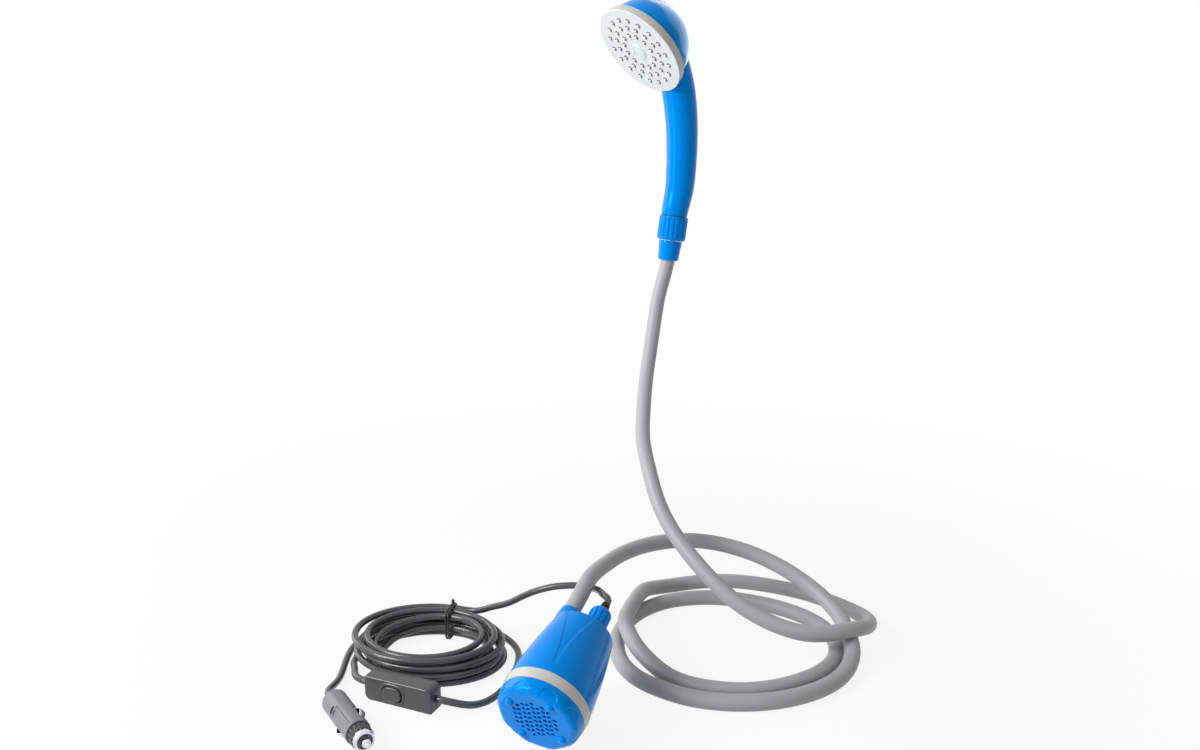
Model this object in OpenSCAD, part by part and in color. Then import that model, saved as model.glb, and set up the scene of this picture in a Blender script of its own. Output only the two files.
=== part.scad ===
// Camp shower pump: a submersible pump, a hose to a hand shower, and a coiled cord with switch and plug.
// Millimetres, +Z up, the floor at z = 0, the origin under the middle of the pump and the handset.

/* [Pump] */
// Radius of the casing where it meets the trim band
casing_base_r = 29.8; // [29.6:0.1:31]
// Radius of the casing at its flat top
casing_top_r = 21; // [21:0.5:23]
// Length of the casing above the trim band
casing_l = 59.4; // [58:0.2:64]
// How late the casing tapers: 1 for a plain cone, more for a fuller side
casing_fullness = 1.45; // [1.2:0.05:1.6]
// Radius of the shoulder between casing side and top
casing_shoulder = 1.4; // [1:0.1:2]
// Least wall of the casing
casing_wall = 2.2; // [1.8:0.1:2.6]
// Height of the trim band
band_h = 7.6; // [7:0.2:9]
// Radius of the trim band at its upper edge
band_r = 30.3; // [30:0.1:31.5]
// Height of the strainer cap's side
cap_h = 9.4; // [9:0.2:12]
// Radius of the strainer cap where it meets the band
cap_r = 29.2; // [29:0.1:29.8]
// Radius of the rounded rim of the strainer cap
cap_rim = 4.4; // [3:0.2:5]
// Thickness of the strainer cap's face
cap_face_t = 2; // [1.6:0.2:2.6]
// Radius of the slotted field of the strainer
grille_r = 16.2; // [12:0.2:16.4]
// Length of a strainer slot
slot_l = 3; // [2:0.1:3.2]
// Width of a strainer slot
slot_w = 1.3; // [0.8:0.1:1.4]
// Radius of a stud foot
stud_r = 2.6; // [2:0.1:3]
// How far a stud foot stands proud
stud_h = 1.6; // [1:0.1:1.8]
// Number of grip scallops round the strainer cap
scallop_count = 9; // [7:1:10]

/* [Pump works] */
// Radius of the volute body
volute_r = 26.4; // [26:0.1:26.8]
// Height of the volute body
volute_h = 11.4; // [11:0.2:13]
// Radius of the impeller
impeller_r = 14; // [11:0.5:14.4]
// Number of impeller vanes
vane_count = 6; // [4:1:8]
// Radius of the motor can
motor_r = 11; // [10:0.1:11.2]
// Room along the casing that the motor can leaves free
motor_room = 30.4; // [29:0.2:33]
// Radius of the motor shaft
shaft_r = 1.2; // [1:0.1:1.4]
// Bore radius of the water duct
duct_r = 2.6; // [2.2:0.1:2.8]

/* [Hose] */
// Outer radius of the hose
hose_r = 6; // [5.8:0.1:6.2]
// Bore radius of the hose
hose_bore_r = 4.4; // [4.3:0.1:4.6]
// Radius of the nipples that go into the hose
nipple_r = 4; // [3.8:0.05:4]

/* [Handset] */
// Radius of the handset's dome
dome_r = 36.8; // [36.6:0.1:37.5]
// How far the grey ring round the face stands out beyond the dome
ring_step = 4.2; // [3.6:0.1:5]
// Height of the grey ring round the face
ring_h = 7; // [6.6:0.2:8]
// Wall of the handle and dome
handset_wall = 2.4; // [2:0.1:2.6]
// Numbers of nozzles in the three rings of the face
nozzle_counts = [18, 16, 12];
// Radius of a nozzle at its foot
nozzle_r = 1.5; // [1.2:0.1:1.6]
// Height of a nozzle
nozzle_h = 1.3; // [0.8:0.1:1.8]
// Bore radius of a nozzle
nozzle_bore_r = 0.6; // [0.4:0.05:0.7]
// Outer radius of the ribbed hose nut
nut_r = 12.3; // [12:0.1:13]
// Number of grooves round the hose nut
nut_grooves = 18; // [12:1:24]
// Length of the tapered hose sleeve
sleeve_l = 16.6; // [14:0.2:19]

/* [Cord] */
// Radius of the cable
cable_r = 2.5; // [2.3:0.1:2.6]
// Half length of the coil
coil_half_l = 58; // [54:1:58]
// Half width of the coil
coil_half_w = 45; // [41:1:45]
// Turns between the coil's two ends
coil_turns = 8; // [6:2:8]

/* [Switch] */
// Length of the switch
switch_l = 54; // [51:1:54]
// Height of the switch
switch_h = 18; // [17.8:0.2:19]
// Depth of the switch
switch_d = 14; // [13.6:0.2:15]
// Wall of the switch case
switch_wall = 1.6; // [1.4:0.1:1.7]
// Radius of the push button
button_r = 6.6; // [6:0.1:6.7]
// Travel of the push button
button_travel = 2.5; // [2:0.1:2.6]

/* [Plug] */
// Radius of the plug's shell
plug_r = 8.7; // [8.6:0.1:9.2]
// Length of the shell
plug_l = 42; // [41:0.5:44]
// Wall of the shell
plug_wall = 1.9; // [1.7:0.1:2]
// Length of the nose ahead of the shell
nose_l = 8; // [7:0.5:10]
// How far the side contacts stand out from the axis
contact_reach = 10.7; // [10.4:0.1:11]
// Travel of the centre tip
tip_travel = 4; // [3:0.1:4.2]

/* [Hidden] */
$fn = 48;

// Named clearances: pieces that run, pieces that only stay clear, and a cut's overshoot
run_gap = 0.08;
clear_gap = 0.3;
over = 1;

// Colours
blue = [0.02, 0.42, 0.86];
pale = [0.80, 0.81, 0.79];
white_grey = [0.88, 0.89, 0.89];
hose_grey = [0.55, 0.55, 0.56];
cable_grey = [0.27, 0.27, 0.28];
plug_grey = [0.55, 0.56, 0.58];
dark_grey = [0.20, 0.20, 0.21];
metal = [0.75, 0.75, 0.77];
brass_colour = [0.80, 0.66, 0.35];
copper = [0.72, 0.42, 0.25];

// Places on the floor, chosen from the way the parts lie; the pump stands on the rim of its strainer
floor_shift = [-1, 0.1, 0];
rim_centre_r = cap_r - cap_rim - 0.6;
pump_turn = 23.8;
pump_rise = 20;
pump_at = floor_shift + [-48, -159.6, rim_centre_r * cos(pump_rise) + cap_rim - cap_rim * sin(pump_rise)];
handset_at = floor_shift + [56, 153.7, 314.6];
face_turn = 213.7;
handle_lean = 9.3;
switch_at = floor_shift + [-144.4, -94.6, 0];
switch_turn = -23.3;
plug_at = floor_shift + [-186.5, -111, plug_r];
plug_turn = -57;
plug_roll = 38;
coil_at = floor_shift + [-132, -35.5, 0];
coil_turn = -12;

// Heights along the pump's axis, from the strainer's face
casing_z = cap_h + band_h;
casing_top_z = casing_z + casing_l;
volute_top_z = casing_z + volute_h;
cover_t = 2.4;
cover_r = volute_r - 1;
cover_z = casing_z - cover_t;
neck_r = volute_r;
neck_bore_r = neck_r - 2;
neck_top_z = cover_z - clear_gap;
lug_h = 1.8;
lug_z = neck_top_z - lug_h - 0.3;
lug_reach = 1.2;
chamber_r = impeller_r + 1.6;
chamber_top_z = casing_z + volute_h - 4;
motor_recess = 1;
motor_z = volute_top_z - motor_recess;
motor_l = casing_l - motor_room;
motor_top_z = motor_z + motor_l;
bell_h = 4;
bell_top_z = motor_top_z + bell_h;
ledge = 1.5;

// Outlet and gland on the casing's top
spigot_at = [-11.3, -9.8];
spigot_turn = atan2(spigot_at[1], spigot_at[0]);
spigot_r = 7;
spigot_h = 7.6;
nipple_l = 14;
stub_l = 8;
port_reach = 19.2;
duct_wall = 1;
gland_at = [9.3, -8.3];
gland_r = 7.7;
gland_h = 16;
gland_boss_r = 5.2;
gland_boss_h = 7;
gland_grooves = 12;
relief_l = 6;
relief_r = 3.4;

// Heights along the handset's axis, from the lower end of the handle
inlet_r = 10;
inlet_l = 15;
inlet_bore_r = 6;
washer_t = 1.8;
flange_t = 1.7;
nut_lip = 2;
washer_z = -inlet_l - washer_t - run_gap;
flange_z = washer_z - flange_t - run_gap;
nut_bottom_z = flange_z - nut_lip - clear_gap;
nut_top_z = -0.6;
sleeve_top_z = nut_bottom_z - clear_gap;
sleeve_top_r = 10;
sleeve_bottom_r = 8.7;
sleeve_wall_top = 1.6;
hose_end_z = sleeve_top_z - sleeve_wall_top - 0.2;
barb_l = 16;

// The handle's axis as [forward, up, radius], and the face at the end of the head
handle_axis = [[0, 0, 11.2], [0, 5, 11.4], [-1.2, 18, 12], [-0.4, 38, 12.7], [2.8, 61, 13.2],
    [7.8, 83, 13.7], [14.2, 102, 14], [22, 118, 13.9], [31.5, 132, 12.9], [43, 142, 11.4]];
handle_sides = 24;
face_at = [59, 125.6];
face_tilt = 140.5;
ring_r = dome_r + ring_step;
plate_r = dome_r - 0.4;
plate_t = 2.4;
plate_proud = 0.2;
ledge_t = 1.1;
gasket_t = 1.6;
neck_len = ring_h - plate_t - ledge_t - gasket_t;
nozzle_radii = [for (share = [0.84, 0.635, 0.43]) plate_r * share];
boss_r = 7;
screw_head_r = 3.1;
screw_r = 1.5;
hub_r = 6;
hub_z = -6;
pillar_r = 4;

// Coil: radial step at the tie and away from it, height of a layer, lean of the upper layers, lift
coil_layers = 4;
coil_start = 80;
coil_end = 195;
tie_angle = 88;
step_at_tie = 2 * cable_r + 0.7;
step_away = 9.5;
layer_h = 2 * cable_r + 0.7;
coil_lean = 0.25;
coil_lift = 1.4;
coil_rings = 24;
coil_sweep = coil_turns * 360 + coil_end - coil_start;
coil_span = coil_sweep / coil_layers;
tie_t = 1;
tie_w = 1.6;

// Switch: places along its depth, from the joint between its halves
button_proud = 2;
button_flange = 0.5;
block_d = 3;
switch_centre = switch_h / 2;
switch_spring_r = 3;
wire_r = 0.4;

// Plug: places along its axis, from the middle of its rounded rear
plug_rear = 8;
contact_window = [20, 36];
contact_t = 0.6;
contact_half_h = 3;
tip_r = 3;
fuse_r = 3;
fuse_l = 18;
plug_bore_r = plug_r - plug_wall;
nose_r = plug_r - 0.9;
nose_z = plug_l;
ring_len = 4;
tip_out = 6;
tip_spring_r = 2.9;

// Turning a point of the pump or the handset into the shared frame
function turn_x(p, a) = [p[0], p[1] * cos(a) - p[2] * sin(a), p[1] * sin(a) + p[2] * cos(a)];
function turn_y(p, a) = [p[0] * cos(a) + p[2] * sin(a), p[1], -p[0] * sin(a) + p[2] * cos(a)];
function turn_z(p, a) = [p[0] * cos(a) - p[1] * sin(a), p[0] * sin(a) + p[1] * cos(a), p[2]];
function on_pump(p) = pump_at + turn_z(turn_x(p, pump_rise - 90), -pump_turn);
function on_handset(p) = handset_at + turn_z(turn_y(p, -handle_lean), face_turn);
function on_switch(p) = switch_at + turn_z(p, switch_turn);
function on_plug(p) = plug_at + turn_z(p, plug_turn);
function laid(points) = [for (p = points) p + floor_shift];

// Hose: out of the spigot in a low arch, down to two loops on the floor, then up to the handset
hose_start_z = casing_top_z + spigot_h + clear_gap;
hose_route = concat(
    [for (out = [0, 16]) on_pump([spigot_at[0], spigot_at[1], hose_start_z + out])],
    laid([[-14, -43, 71], [-5, -22, 70], [8, 3, 68], [26, 25, 66], [48, 40, 64], [71, 46, 62], [94, 44, 59],
    [116, 38, 54], [137, 28, 47], [154, 17, 39], [167, 4, 31.5], [176, -11, 24], [179.5, -27, 18],
    [179.5, -43, 12.5], [173.5, -59, 8], [160, -76.5, 6], [138, -93, 6], [111, -103, 6], [84, -105, 6],
    [58, -100, 6], [36, -88, 6], [19, -72, 6], [9, -52, 6], [5.5, -31, 6], [6.5, -10, 6], [13, 12, 6],
    [26, 33, 6], [46, 50, 6], [72, 58, 6], [98, 57, 6], [124, 48, 6], [146, 34, 6], [162, 16, 6],
    [171, -5, 6], [171.5, -27, 6], [164.5, -48.5, 6], [148, -68, 6], [122, -83.5, 6], [96, -90, 6],
    [70, -87, 6], [48, -76, 6], [31, -58, 9], [20, -45, 15.5], [14, -29, 19.5], [12, -11, 20],
    [16, 9, 20], [22, 29, 19.5], [29, 49, 17], [42, 68, 11], [62, 84, 6.5], [87, 91, 6], [112, 90, 6],
    [140, 81, 6], [165, 67, 6], [186, 48, 6], [199, 28, 7.5],
    [203, 5, 12], [197, -16, 18], [186, -31, 23.5], [168, -41, 25.5], [146, -45, 26.5], [125, -41, 30.5],
    [107, -33, 36.5], [90, -23, 45.5], [74, -10, 57.5], [60, 5, 70], [48, 20, 83.5], [39, 34, 99],
    [32, 55, 120], [28, 77, 139], [29, 96, 159], [31.5, 113, 180], [35.5, 127, 203], [39.5, 138, 227],
    [43.5, 146, 248]]),
    [on_handset([0, 0, hose_end_z - 16]), on_handset([0, 0, hose_end_z])]);
hose_split = 60;
hose_sides = 10;

// Cable: out of the gland under the hose to the coil's top, then from the coil to the switch and the plug
gland_tip_z = casing_top_z + gland_h + relief_l;
lead_route = concat(
    [on_pump([gland_at[0], gland_at[1], casing_top_z + 2]), on_pump([gland_at[0], gland_at[1], gland_tip_z]),
    on_pump([gland_at[0], gland_at[1], gland_tip_z + 4])],
    laid([[-4.5, -71, 69.4], [-6.6, -63.5, 68], [-8.8, -54, 65.4], [-12, -45, 62.4], [-18, -38.5, 61],
    [-26.5, -35.5, 60.4], [-39, -33, 58.6], [-52, -29, 54], [-66, -21.5, 45], [-79, -13, 35], [-92, -5, 28]]),
    [coil_point(0) - 12 * coil_heading(0), coil_point(0) - 2 * cable_r * coil_heading(0)]);
switch_route = concat(
    [for (out = [2 * cable_r + 0.02, 4 * cable_r]) coil_point(coil_sweep) + out * coil_heading(coil_sweep)],
    laid([[-186.4, -57, 5], [-183.6, -68, 6.8], [-178, -78, 8.6]]),
    [on_switch([-switch_l / 2 + 1, 0, switch_centre])]);
plug_route = concat(
    [on_switch([switch_l / 2 - 1, 0, switch_centre]), on_switch([switch_l / 2 + 7, 0, switch_centre])],
    laid([[-106, -107.6, 7], [-96, -105, 4], [-85.5, -97.5, 2.6], [-76.5, -83.5, 2.6], [-70.5, -65, 2.6],
    [-68.5, -46, 2.6], [-69.5, -28, 2.6], [-77, -11, 2.6], [-91, 4.5, 2.6], [-110.5, 15.5, 2.6],
    [-133, 20, 2.6], [-156, 19, 2.6], [-175, 11, 2.6], [-188.5, -2, 2.6], [-195.5, -18, 2.6],
    [-196.8, -34, 2.6], [-196, -50, 2.6], [-195, -66, 3.4], [-195.5, -82, 6]]),
    [on_plug([-plug_rear - 8, 0, 0]), on_plug([-plug_rear + 2, 0, 0])]);
cable_sides = 8;

// Coil: turns by angle, spiralling in and out at a steady rate, four layers from the top down
function smooth(x) = let (c = min(1, max(0, x))) c * c * (3 - 2 * c);
function coil_in(a) = let (k = floor(a / coil_span), part = (a - k * coil_span) / 360)
    k % 2 == 0 ? part : coil_span / 360 - part;
function coil_drop(a) = layer_h * (smooth((a - coil_span + 90) / 180) + smooth((a - 2 * coil_span + 90) / 180)
    + smooth((a - 3 * coil_span + 90) / 180));
function coil_step(angle) = step_at_tie + (step_away - step_at_tie) * (1 - cos(2 * (angle - tie_angle))) / 2;
function coil_point(a) = let (angle = coil_start + a,
    off = coil_in(min(a, coil_sweep - 0.001)) * coil_step(angle),
    up = layer_h * (coil_layers - 1) - coil_drop(a))
    coil_at + turn_z([(coil_half_l - off) * cos(angle) - coil_lean * up, (coil_half_w - off) * sin(angle),
    cable_r + coil_lift + up], coil_turn);
function coil_heading(a) = unit(coil_point(min(a + 2, coil_sweep)) - coil_point(max(a - 2, 0)));
coil_ring_count = round(coil_sweep / 360 * coil_rings);
coil_path = concat([coil_point(0) - 2 * cable_r * coil_heading(0)],
    [for (i = [0:coil_ring_count]) coil_point(i * coil_sweep / coil_ring_count)],
    [coil_point(coil_sweep) + 2 * cable_r * coil_heading(coil_sweep)]);
coil_gap = min([for (i = [0:coil_ring_count], j = [i + coil_rings / 2:coil_ring_count])
    if (j <= coil_ring_count) norm(coil_path[i + 1] - coil_path[j + 1])]) - 2 * cable_r;
echo(coil_least_gap = coil_gap);

// Length of a route through its points
function route_length(p) = len(p) < 2 ? 0 : [for (i = 0, s = 0; i < len(p); s = s + (i + 1 < len(p)
    ? norm(p[i + 1] - p[i]) : 0), i = i + 1) s][len(p) - 1];
echo(hose_length = route_length(hose_route), lead_length = route_length(lead_route),
    coil_length = route_length(coil_path), switch_lead_length = route_length(switch_route),
    plug_lead_length = route_length(plug_route));

// Sweeping a tube: headings at the points, and sides carried along them without twist
function unit(v) = v / norm(v);
function headings(p) = [for (i = [0:len(p) - 1]) unit(p[min(i + 1, len(p) - 1)] - p[max(i - 1, 0)])];
function carried(side, heading) = unit(side - (side * heading) * heading);
function first_side(heading) = carried(abs(heading[2]) < 0.9 ? [0, 0, 1] : [1, 0, 0], heading);
function sides_along(h) = [for (i = 0, s = first_side(h[0]); i < len(h); i = i + 1,
    s = i < len(h) ? carried(s, h[i]) : s) s];
function tube_rings(p, r, n) = let (h = headings(p), s = sides_along(h))
    [for (i = [0:len(p) - 1]) [for (k = [0:n - 1]) let (a = 360 * k / n)
    p[i] + r * (cos(a) * s[i] + sin(a) * cross(h[i], s[i]))]];
function flat(list) = [for (part = list, item = part) item];
function wall_faces(rings, n, first, outward) = flat([for (i = [0:rings - 2], k = [0:n - 1])
    let (a = first + i * n + k, b = first + i * n + (k + 1) % n)
    outward ? [[a, a + n, b], [b, a + n, b + n]] : [[a, b, a + n], [b, b + n, a + n]]]);
function end_faces(n, at, outward) = [for (k = [1:n - 2])
    outward ? [at, at + k, at + k + 1] : [at, at + k + 1, at + k]];
function annulus_faces(n, outer, inner, outward) = flat([for (k = [0:n - 1]) let (m = (k + 1) % n)
    outward ? [[outer + k, outer + m, inner + k], [inner + k, outer + m, inner + m]]
    : [[outer + k, inner + k, outer + m], [inner + k, inner + m, outer + m]]]);

// A solid tube through rings of points
module solid_tube(rings) {
    n = len(rings[0]);
    last = (len(rings) - 1) * n;
    polyhedron(points = flat(rings),
        faces = concat(wall_faces(len(rings), n, 0, true), end_faces(n, 0, true), end_faces(n, last, false)));
}

// A hollow tube through rings of outer points and rings of bore points
module hollow_tube(outer, inner) {
    n = len(outer[0]);
    count = len(outer) * n;
    last = (len(outer) - 1) * n;
    polyhedron(points = concat(flat(outer), flat(inner)),
        faces = concat(wall_faces(len(outer), n, 0, true), wall_faces(len(inner), n, count, false),
            annulus_faces(n, 0, count, true), annulus_faces(n, last, count + last, false)));
}

// A part of a list
function slice(list, a, b) = [for (i = [a:b]) list[i]];

// A coil spring of round wire along +Z
module helix_spring(r, height, turns, wire) {
    steps = 8 * turns;
    path = [for (i = [0:steps]) [r * cos(45 * i), r * sin(45 * i), wire + (height - 2 * wire) * i / steps]];
    solid_tube(tube_rings(path, wire, 6));
}

// Placing the sub-assemblies
module at_pump() {
    translate(pump_at) rotate([0, 0, -pump_turn]) rotate([pump_rise - 90, 0, 0]) children();
}

module at_handset() {
    translate(handset_at) rotate([0, 0, face_turn]) rotate([0, -handle_lean, 0]) children();
}

module at_face() {
    at_handset() translate([face_at[0], 0, face_at[1]]) rotate([0, face_tilt, 0]) children();
}

module at_switch() {
    translate(switch_at) rotate([0, 0, switch_turn]) children();
}

module at_plug() {
    translate(plug_at) rotate([0, 0, plug_turn]) rotate([0, 90, 0]) rotate([0, 0, plug_roll]) children();
}

// A ring or washer standing on z = 0
module ring(outer, inner, height) {
    difference() {
        cylinder(r = outer, h = height);
        translate([0, 0, -over]) cylinder(r = inner, h = height + 2 * over);
    }
}

// A torus round the Z axis
module torus(r, section) {
    rotate_extrude() translate([r, 0]) circle(r = section);
}

// Points of a quarter arc in a profile
function arc(centre, r, from, to, steps) = [for (i = [0:steps]) let (a = from + (to - from) * i / steps)
    centre + r * [cos(a), sin(a)]];

// Casing: a full-sided taper with a rounded shoulder, the hose spigot and the gland's boss moulded on
casing_edge_r = casing_top_r + 1.2;
casing_side_l = casing_l - casing_shoulder;
function casing_side(t) = [casing_base_r - (casing_base_r - casing_edge_r) * pow(t, casing_fullness),
    casing_z + casing_side_l * t];
module casing_outside() {
    steps = 10;
    side = [for (i = [0:steps - 1]) casing_side(i / steps)];
    rotate_extrude() polygon(concat([[0, casing_z]], side,
        arc([casing_edge_r - casing_shoulder, casing_top_z - casing_shoulder], casing_shoulder, 8, 90, 8),
        [[0, casing_top_z]]));
}

module casing_cavity() {
    top_z = casing_top_z - casing_wall - 1;
    rotate_extrude() polygon(concat([[0, casing_z - over], [volute_r + run_gap, casing_z - over],
        [volute_r + run_gap, volute_top_z + run_gap], [volute_r - ledge, volute_top_z + run_gap]],
        [for (t = [0.3, 0.5, 0.7, 0.9]) casing_side(t) - [casing_wall + 0.4, 0]],
        [[casing_top_r - casing_wall - 1.5, top_z], [0, top_z]]));
}

module pump_casing() {
    color(blue) at_pump() difference() {
        union() {
            difference() {
                casing_outside();
                casing_cavity();
            }
            translate([spigot_at[0], spigot_at[1], casing_top_z - stub_l]) {
                cylinder(r = duct_r + duct_wall, h = stub_l);
                translate([0, 0, stub_l - 1]) cylinder(r = spigot_r, h = spigot_h + 1);
                translate([0, 0, stub_l + spigot_h - 1]) cylinder(r = nipple_r, h = nipple_l + 1);
            }
            translate([gland_at[0], gland_at[1], casing_top_z - 1])
                cylinder(r = gland_boss_r, h = gland_boss_h + 1);
        }
        translate([spigot_at[0], spigot_at[1], casing_top_z - stub_l - over])
            cylinder(r = duct_r, h = stub_l + spigot_h + nipple_l + 2 * over);
        translate([gland_at[0], gland_at[1], casing_top_z - casing_wall - 2 - over])
            cylinder(r = cable_r + clear_gap, h = casing_wall + gland_boss_h + 2 + 2 * over);
    }
}

// Trim band with the groove and entries for the cap's lugs
module trim_band() {
    color(pale) at_pump() difference() {
        rotate_extrude() polygon([[neck_r + run_gap, cap_h], [cap_r + 0.3, cap_h], [band_r, casing_z - 1],
            [band_r - 0.2, casing_z], [neck_r + run_gap, casing_z]]);
        translate([0, 0, lug_z - clear_gap])
            cylinder(r = neck_r + lug_reach + clear_gap, h = lug_h + 2 * clear_gap);
        for (k = [0:2]) rotate(60 + 120 * k) translate([neck_r - 1, -2.4, cap_h - over])
            cube([1 + lug_reach + clear_gap, 4.8, lug_z - cap_h + over]);
    }
}

// Strainer cap: rounded rim, slotted face, stud feet, arched grip scallops and a lugged neck
module slot_field() {
    pitch_x = 4.4;
    pitch_y = 3.4;
    rows = ceil(grille_r / pitch_y);
    columns = ceil(grille_r / pitch_x);
    for (j = [-rows:rows], i = [-columns - 1:columns]) {
        at = [(i + (j % 2 == 0 ? 0 : 0.5)) * pitch_x, j * pitch_y];
        if (norm(at) < grille_r - slot_l / 2) translate(at) rotate(j % 2 == 0 ? 28 : -28)
            translate([-slot_l / 2, -slot_w / 2, -over]) cube([slot_l, slot_w, cap_face_t + 2 * over]);
    }
}

stud_circle = 20.5;
stud_turn = 38;
scallop_r = 6.6;
scallop_top = 3;
scallop_depth = 0.6;
scallop_turn = -103;
module strainer_cap() {
    color(blue) at_pump() difference() {
        union() {
            rotate_extrude() polygon(concat([[0, 0]],
                arc([rim_centre_r, cap_rim], cap_rim, -90, -12, 8),
                [[cap_r, cap_h], [neck_r, cap_h], [neck_r, neck_top_z], [neck_bore_r, neck_top_z],
                [neck_bore_r, cap_face_t], [0, cap_face_t]]));
            for (k = [0:3]) rotate(stud_turn + 90 * k) translate([stud_circle, 0, 0]) intersection() {
                translate([0, 0, stud_r - stud_h - 0.3]) sphere(r = stud_r);
                translate([-stud_r, -stud_r, -stud_h]) cube([2 * stud_r, 2 * stud_r, stud_h + cap_face_t]);
            }
            for (k = [0:2]) rotate(120 * k) translate([neck_r - 0.6, -1.8, lug_z])
                cube([0.6 + lug_reach, 3.6, lug_h]);
        }
        slot_field();
        for (k = [0:scallop_count - 1]) rotate(scallop_turn + 360 * k / scallop_count)
            translate([cap_r - scallop_depth, 0, cap_h - scallop_top - scallop_r]) rotate([0, 90, 0])
            cylinder(r = scallop_r, h = 4);
    }
}

// Volute cover with its eye, and the volute body with chamber, outlet port, seal pocket and motor seat
screw_circle = cover_r - 4;
module screw_places() {
    for (k = [0:2]) rotate(95 + 120 * k) translate([screw_circle, 0, 0]) children();
}

module volute_cover() {
    color(dark_grey) at_pump() translate([0, 0, cover_z]) difference() {
        cylinder(r = cover_r, h = cover_t);
        translate([0, 0, -over]) cylinder(r = 5.5, h = cover_t + 2 * over);
        screw_places() translate([0, 0, -over]) cylinder(r = 1.7, h = cover_t + 2 * over);
    }
}

port_r = duct_r + duct_wall;
seal_r = 4.4;
seal_h = 2.6;
module volute_body() {
    color(dark_grey) at_pump() difference() {
        translate([0, 0, casing_z]) cylinder(r = volute_r, h = volute_h);
        translate([0, 0, casing_z - over]) cylinder(r = chamber_r, h = chamber_top_z - casing_z + over);
        rotate(spigot_turn) translate([0, -duct_r, casing_z + 1])
            cube([port_reach, 2 * duct_r, chamber_top_z - casing_z - 2]);
        rotate(spigot_turn) translate([port_reach, 0, casing_z + 1]) cylinder(r = duct_r, h = volute_h);
        rotate(spigot_turn) translate([port_reach, 0, volute_top_z - 2])
            cylinder(r = port_r + run_gap, h = 2 + over);
        translate([0, 0, chamber_top_z - over]) cylinder(r = seal_r, h = seal_h + over);
        translate([0, 0, casing_z]) cylinder(r = shaft_r + clear_gap, h = volute_h + over);
        translate([0, 0, motor_z]) cylinder(r = motor_r + run_gap, h = motor_recess + over);
        translate([0, 0, o_ring_z]) torus(volute_r - 0.9, o_ring_section + 0.15);
        screw_places() translate([0, 0, casing_z - over]) cylinder(r = 1.2, h = 7 + over);
    }
}

module volute_screws() {
    color(metal) at_pump() screw_places() {
        translate([0, 0, cover_z - 1.6]) cylinder(r = 2.4, h = 1.6);
        translate([0, 0, cover_z - 0.5]) cylinder(r = 1.18, h = cover_t + 6);
    }
}

o_ring_section = 0.9;
o_ring_z = chamber_top_z + 1.2;
module casing_o_ring() {
    color(dark_grey) at_pump() translate([0, 0, o_ring_z]) torus(volute_r - 0.9, o_ring_section);
}

// Impeller: hub, disc and swept-back flat vanes
impeller_z = casing_z + 0.8;
impeller_top_z = chamber_top_z - 0.6;
impeller_disc_t = 1.2;
hub_reach = 4;
module impeller() {
    vane_t = 1.2;
    vane_l = 0.66 * impeller_r;
    color(pale) at_pump() difference() {
        union() {
            translate([0, 0, impeller_z]) cylinder(r = hub_reach, h = impeller_top_z - impeller_z);
            translate([0, 0, impeller_top_z - impeller_disc_t]) cylinder(r = impeller_r, h = impeller_disc_t);
            for (k = [0:vane_count - 1]) rotate(360 * k / vane_count)
                translate([hub_reach - 0.8, 0, impeller_z + 0.2])
                rotate(-24) translate([0, -vane_t / 2, 0])
                    cube([vane_l, vane_t, impeller_top_z - impeller_z - 0.2 - impeller_disc_t / 2]);
        }
        translate([0, 0, impeller_z + 1]) cylinder(r = shaft_r, h = volute_h);
    }
}

module motor_shaft() {
    color(metal) at_pump() translate([0, 0, impeller_z + 1])
        cylinder(r = shaft_r, h = bell_top_z - impeller_z);
}

module shaft_seal() {
    color(dark_grey) at_pump() translate([0, 0, chamber_top_z]) ring(seal_r, shaft_r + 0.03, seal_h);
}

// Motor
can_wall = 0.9;
bush_r = 2.6;
bush_h = 3;
module motor_can() {
    color(metal) at_pump() translate([0, 0, motor_z]) difference() {
        cylinder(r = motor_r, h = motor_l);
        translate([0, 0, can_wall]) cylinder(r = motor_r - can_wall, h = motor_l);
        translate([0, 0, -over]) cylinder(r = bush_r, h = motor_l);
    }
}

module motor_end_bell() {
    color(dark_grey) at_pump() difference() {
        union() {
            translate([0, 0, motor_top_z]) cylinder(r = motor_r, h = bell_h);
            translate([0, 0, motor_top_z - 2])
                ring(motor_r - can_wall - run_gap, motor_r - can_wall - 1.2, 2.5);
        }
        translate([0, 0, motor_top_z - over]) cylinder(r = bush_r, h = bell_h + 2 * over);
    }
}

module motor_bushes() {
    color(brass_colour) at_pump() {
        translate([0, 0, motor_z]) ring(bush_r, shaft_r + 0.03, bush_h);
        translate([0, 0, motor_top_z]) ring(bush_r, shaft_r + 0.03, bell_h);
    }
}

armature_z = motor_z + 6;
armature_l = motor_l - 15;
magnet_r = motor_r - can_wall - 0.02;
armature_r = magnet_r - 2.6;
module motor_magnets() {
    color(dark_grey) at_pump() translate([0, 0, armature_z - 1]) for (k = [0, 180]) rotate(k) intersection() {
        ring(magnet_r, armature_r + clear_gap, armature_l + 2);
        translate([0, -0.76 * magnet_r, -over]) cube([2 * magnet_r, 1.52 * magnet_r, motor_l]);
    }
}

module armature() {
    color(copper) at_pump() translate([0, 0, armature_z]) difference() {
        cylinder(r = armature_r, h = armature_l);
        translate([0, 0, -over]) cylinder(r = shaft_r, h = armature_l + 2 * over);
        for (k = [0:2]) rotate(120 * k) translate([armature_r - 2, -0.6, -over])
            cube([4, 1.2, armature_l + 2 * over]);
    }
}

commutator_r = 3;
commutator_z = armature_z + armature_l + 1;
commutator_l = 5;
module commutator() {
    color(copper) at_pump() translate([0, 0, commutator_z]) ring(commutator_r, shaft_r, commutator_l);
}

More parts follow.
